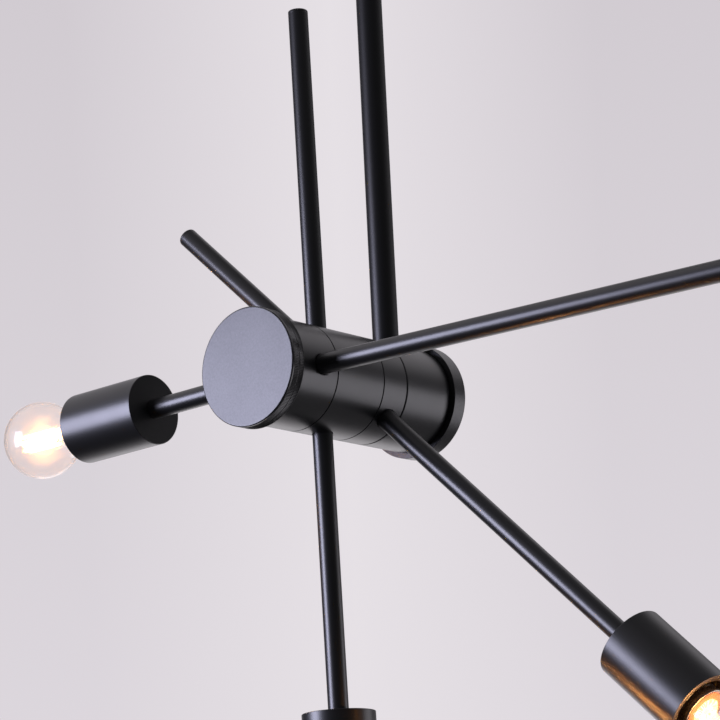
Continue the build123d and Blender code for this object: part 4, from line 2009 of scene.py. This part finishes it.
@dataclass
class Studio:
    """Camera, floor, lamps and the pale surroundings."""

    eye: tuple[float, float, float] = (1.068411, -1.339433, -0.859449)
    target: tuple[float, float, float] = (0.01397, -0.04287, -0.46846)
    roll: float = math.radians(2.74)
    lens_mm: float = 144.892
    sensor_mm: float = 36.0
    sight: float = 100.0
    floor_gap: float = 2.6
    floor_side: float = 18.0
    floor_cells: int = 4
    backdrop_top: Colour = (0.64, 0.60, 0.64)
    backdrop_low: Colour = (0.75, 0.71, 0.755)
    backdrop_glow: Colour = (0.79, 0.75, 0.785)
    backdrop_rise: Range = (0.0, 0.35)
    glow_side: tuple[float, float, float] = (0.7725, 0.635, 0.0)
    glow_reach: float = 0.09
    room_pale: Colour = (0.85, 0.81, 0.86)
    room_dim: Colour = (0.036, 0.036, 0.04)
    room_light: Colour = (0.22, 0.22, 0.235)
    ceiling_rise: Range = (0.35, 0.62)
    ceiling_left: Range = (0.0, -0.6)
    ceiling_left_share: Range = (0.15, 0.7)
    ceiling_back: Range = (0.35, 0.78)
    ceiling_back_share: Range = (0.15, 1.0)
    left_wall_depth: Range = (0.2, 0.6)
    left_wall_side: Range = (-0.15, -0.6)
    far_wall_depth: Range = (0.68, 0.78)
    far_wall_share: Range = (0.0, 0.2)
    softboxes: tuple[Softbox, ...] = (KEY, RIM, LOW)

    def camera(self) -> None:
        """Set the camera where the photograph was taken."""
        eye = Vector(self.eye)
        view = (Vector(self.target) - eye).normalized()
        level = view.cross(UP).normalized()
        upright = level.cross(view)
        right = level * math.cos(self.roll) - upright * math.sin(self.roll)
        up = right.cross(view)
        data = bpy.data.cameras.new("photo_camera")
        data.lens = self.lens_mm
        data.sensor_width = self.sensor_mm
        data.sensor_fit = "HORIZONTAL"
        data.clip_end = self.sight
        camera = bpy.data.objects.new("photo_camera", data)
        axes = Matrix((right, up, -view)).transposed()
        camera.matrix_world = Matrix.Translation(eye) @ axes.to_4x4()
        bpy.context.scene.collection.objects.link(camera)
        bpy.context.scene.camera = camera

    def floor(self) -> None:
        """Lay a wide pale floor under the light."""
        Bench.clear()
        height = CAD_BOX[0][2] - self.floor_gap
        bpy.ops.mesh.primitive_grid_add(
            x_subdivisions=self.floor_cells,
            y_subdivisions=self.floor_cells,
            size=self.floor_side,
            location=(0.0, 0.0, height),
        )
        floor = bpy.context.object
        floor.name = "floor"
        floor.visible_glossy = False
        FLOOR_PAINT.dress(floor)

    def seen_wall(self, graph: Graph, direction: bpy.types.NodeSocket) -> bpy.types.NodeSocket:
        """Paint the wall as it is seen: pale, with a band of glow down the middle.

        Args:
            graph: The world's graph.
            direction: The direction of sight.

        Returns:
            The wall's colour.
        """
        height = graph.add("ShaderNodeSeparateXYZ", {0: direction}).outputs["Z"]
        rise = graph.stretch(height, self.backdrop_rise, (0.0, 1.0))
        wall = graph.mix(rise, self.backdrop_low, self.backdrop_top)
        across = {0: direction, 1: self.glow_side}
        aside = graph.add("ShaderNodeVectorMath", across, operation="DOT_PRODUCT").outputs["Value"]
        glow = graph.stretch(graph.math("ABSOLUTE", aside, 0.0), (0.0, self.glow_reach), (1.0, 0.0))
        return graph.mix(glow, wall, self.backdrop_glow)

    def mirrored_room(self, graph: Graph, direction: bpy.types.NodeSocket) -> bpy.types.NodeSocket:
        """Paint the room as it is mirrored: dim, with a pale ceiling, left wall and far wall.

        Args:
            graph: The world's graph.
            direction: The mirrored direction.

        Returns:
            The room's colour.
        """
        axes = graph.add("ShaderNodeSeparateXYZ", {0: direction}).outputs
        above = graph.stretch(axes["Z"], self.ceiling_rise, (0.0, 1.0))
        leftwards = graph.stretch(axes["X"], self.ceiling_left, self.ceiling_left_share)
        backwards = graph.stretch(axes["Y"], self.ceiling_back, self.ceiling_back_share)
        ceiling = graph.math("MULTIPLY", above, graph.math("MAXIMUM", leftwards, backwards))
        behind = graph.stretch(axes["Y"], self.left_wall_depth, (0.0, 1.0))
        beside = graph.stretch(axes["X"], self.left_wall_side, (0.0, 1.0))
        left_wall = graph.math("MULTIPLY", behind, beside)
        far_wall = graph.stretch(axes["Y"], self.far_wall_depth, self.far_wall_share)
        pale = graph.math("MAXIMUM", ceiling, graph.math("MAXIMUM", left_wall, far_wall))
        return graph.mix(pale, self.room_dim, self.room_pale)

    def surroundings(self) -> None:
        """Make the world: the seen wall, the mirrored room and an even light on everything else."""
        world = bpy.data.worlds.new("pale_room")
        world.use_nodes = True
        world.node_tree.nodes.clear()
        graph = Graph(world.node_tree)
        direction = graph.add("ShaderNodeTexCoord").outputs["Generated"]
        path = graph.add("ShaderNodeLightPath").outputs
        plain = graph.math("MAXIMUM", path[Rays.CAMERA.value], path[Rays.TRANSMISSION.value])
        mirrored = self.mirrored_room(graph, direction)
        lit = graph.mix(path[Rays.GLOSSY.value], self.room_light, mirrored)
        colour = graph.mix(plain, lit, self.seen_wall(graph, direction))
        background = graph.add("ShaderNodeBackground", {"Color": colour, "Strength": 1.0})
        graph.add("ShaderNodeOutputWorld", {"Surface": background.outputs[0]})
        bpy.context.scene.world = world

    def build(self) -> None:
        """Set the whole stage."""
        bpy.context.scene.view_settings.view_transform = "Standard"
        self.camera()
        self.floor()
        for softbox in self.softboxes:
            softbox.hang(Vector(self.target))
        self.surroundings()


def main() -> None:
    """Build the stage and every sub-assembly in order."""
    logging.basicConfig(level=logging.INFO, format="%(message)s")
    Studio().build()
    CeilingEnd().build()
    Stem().build()
    Hub().build()
    for name in ARM_NAMES:
        Arm(name).build()
        Bulb(name).build()
    Inside().build()


if __name__ == "__main__":
    main()
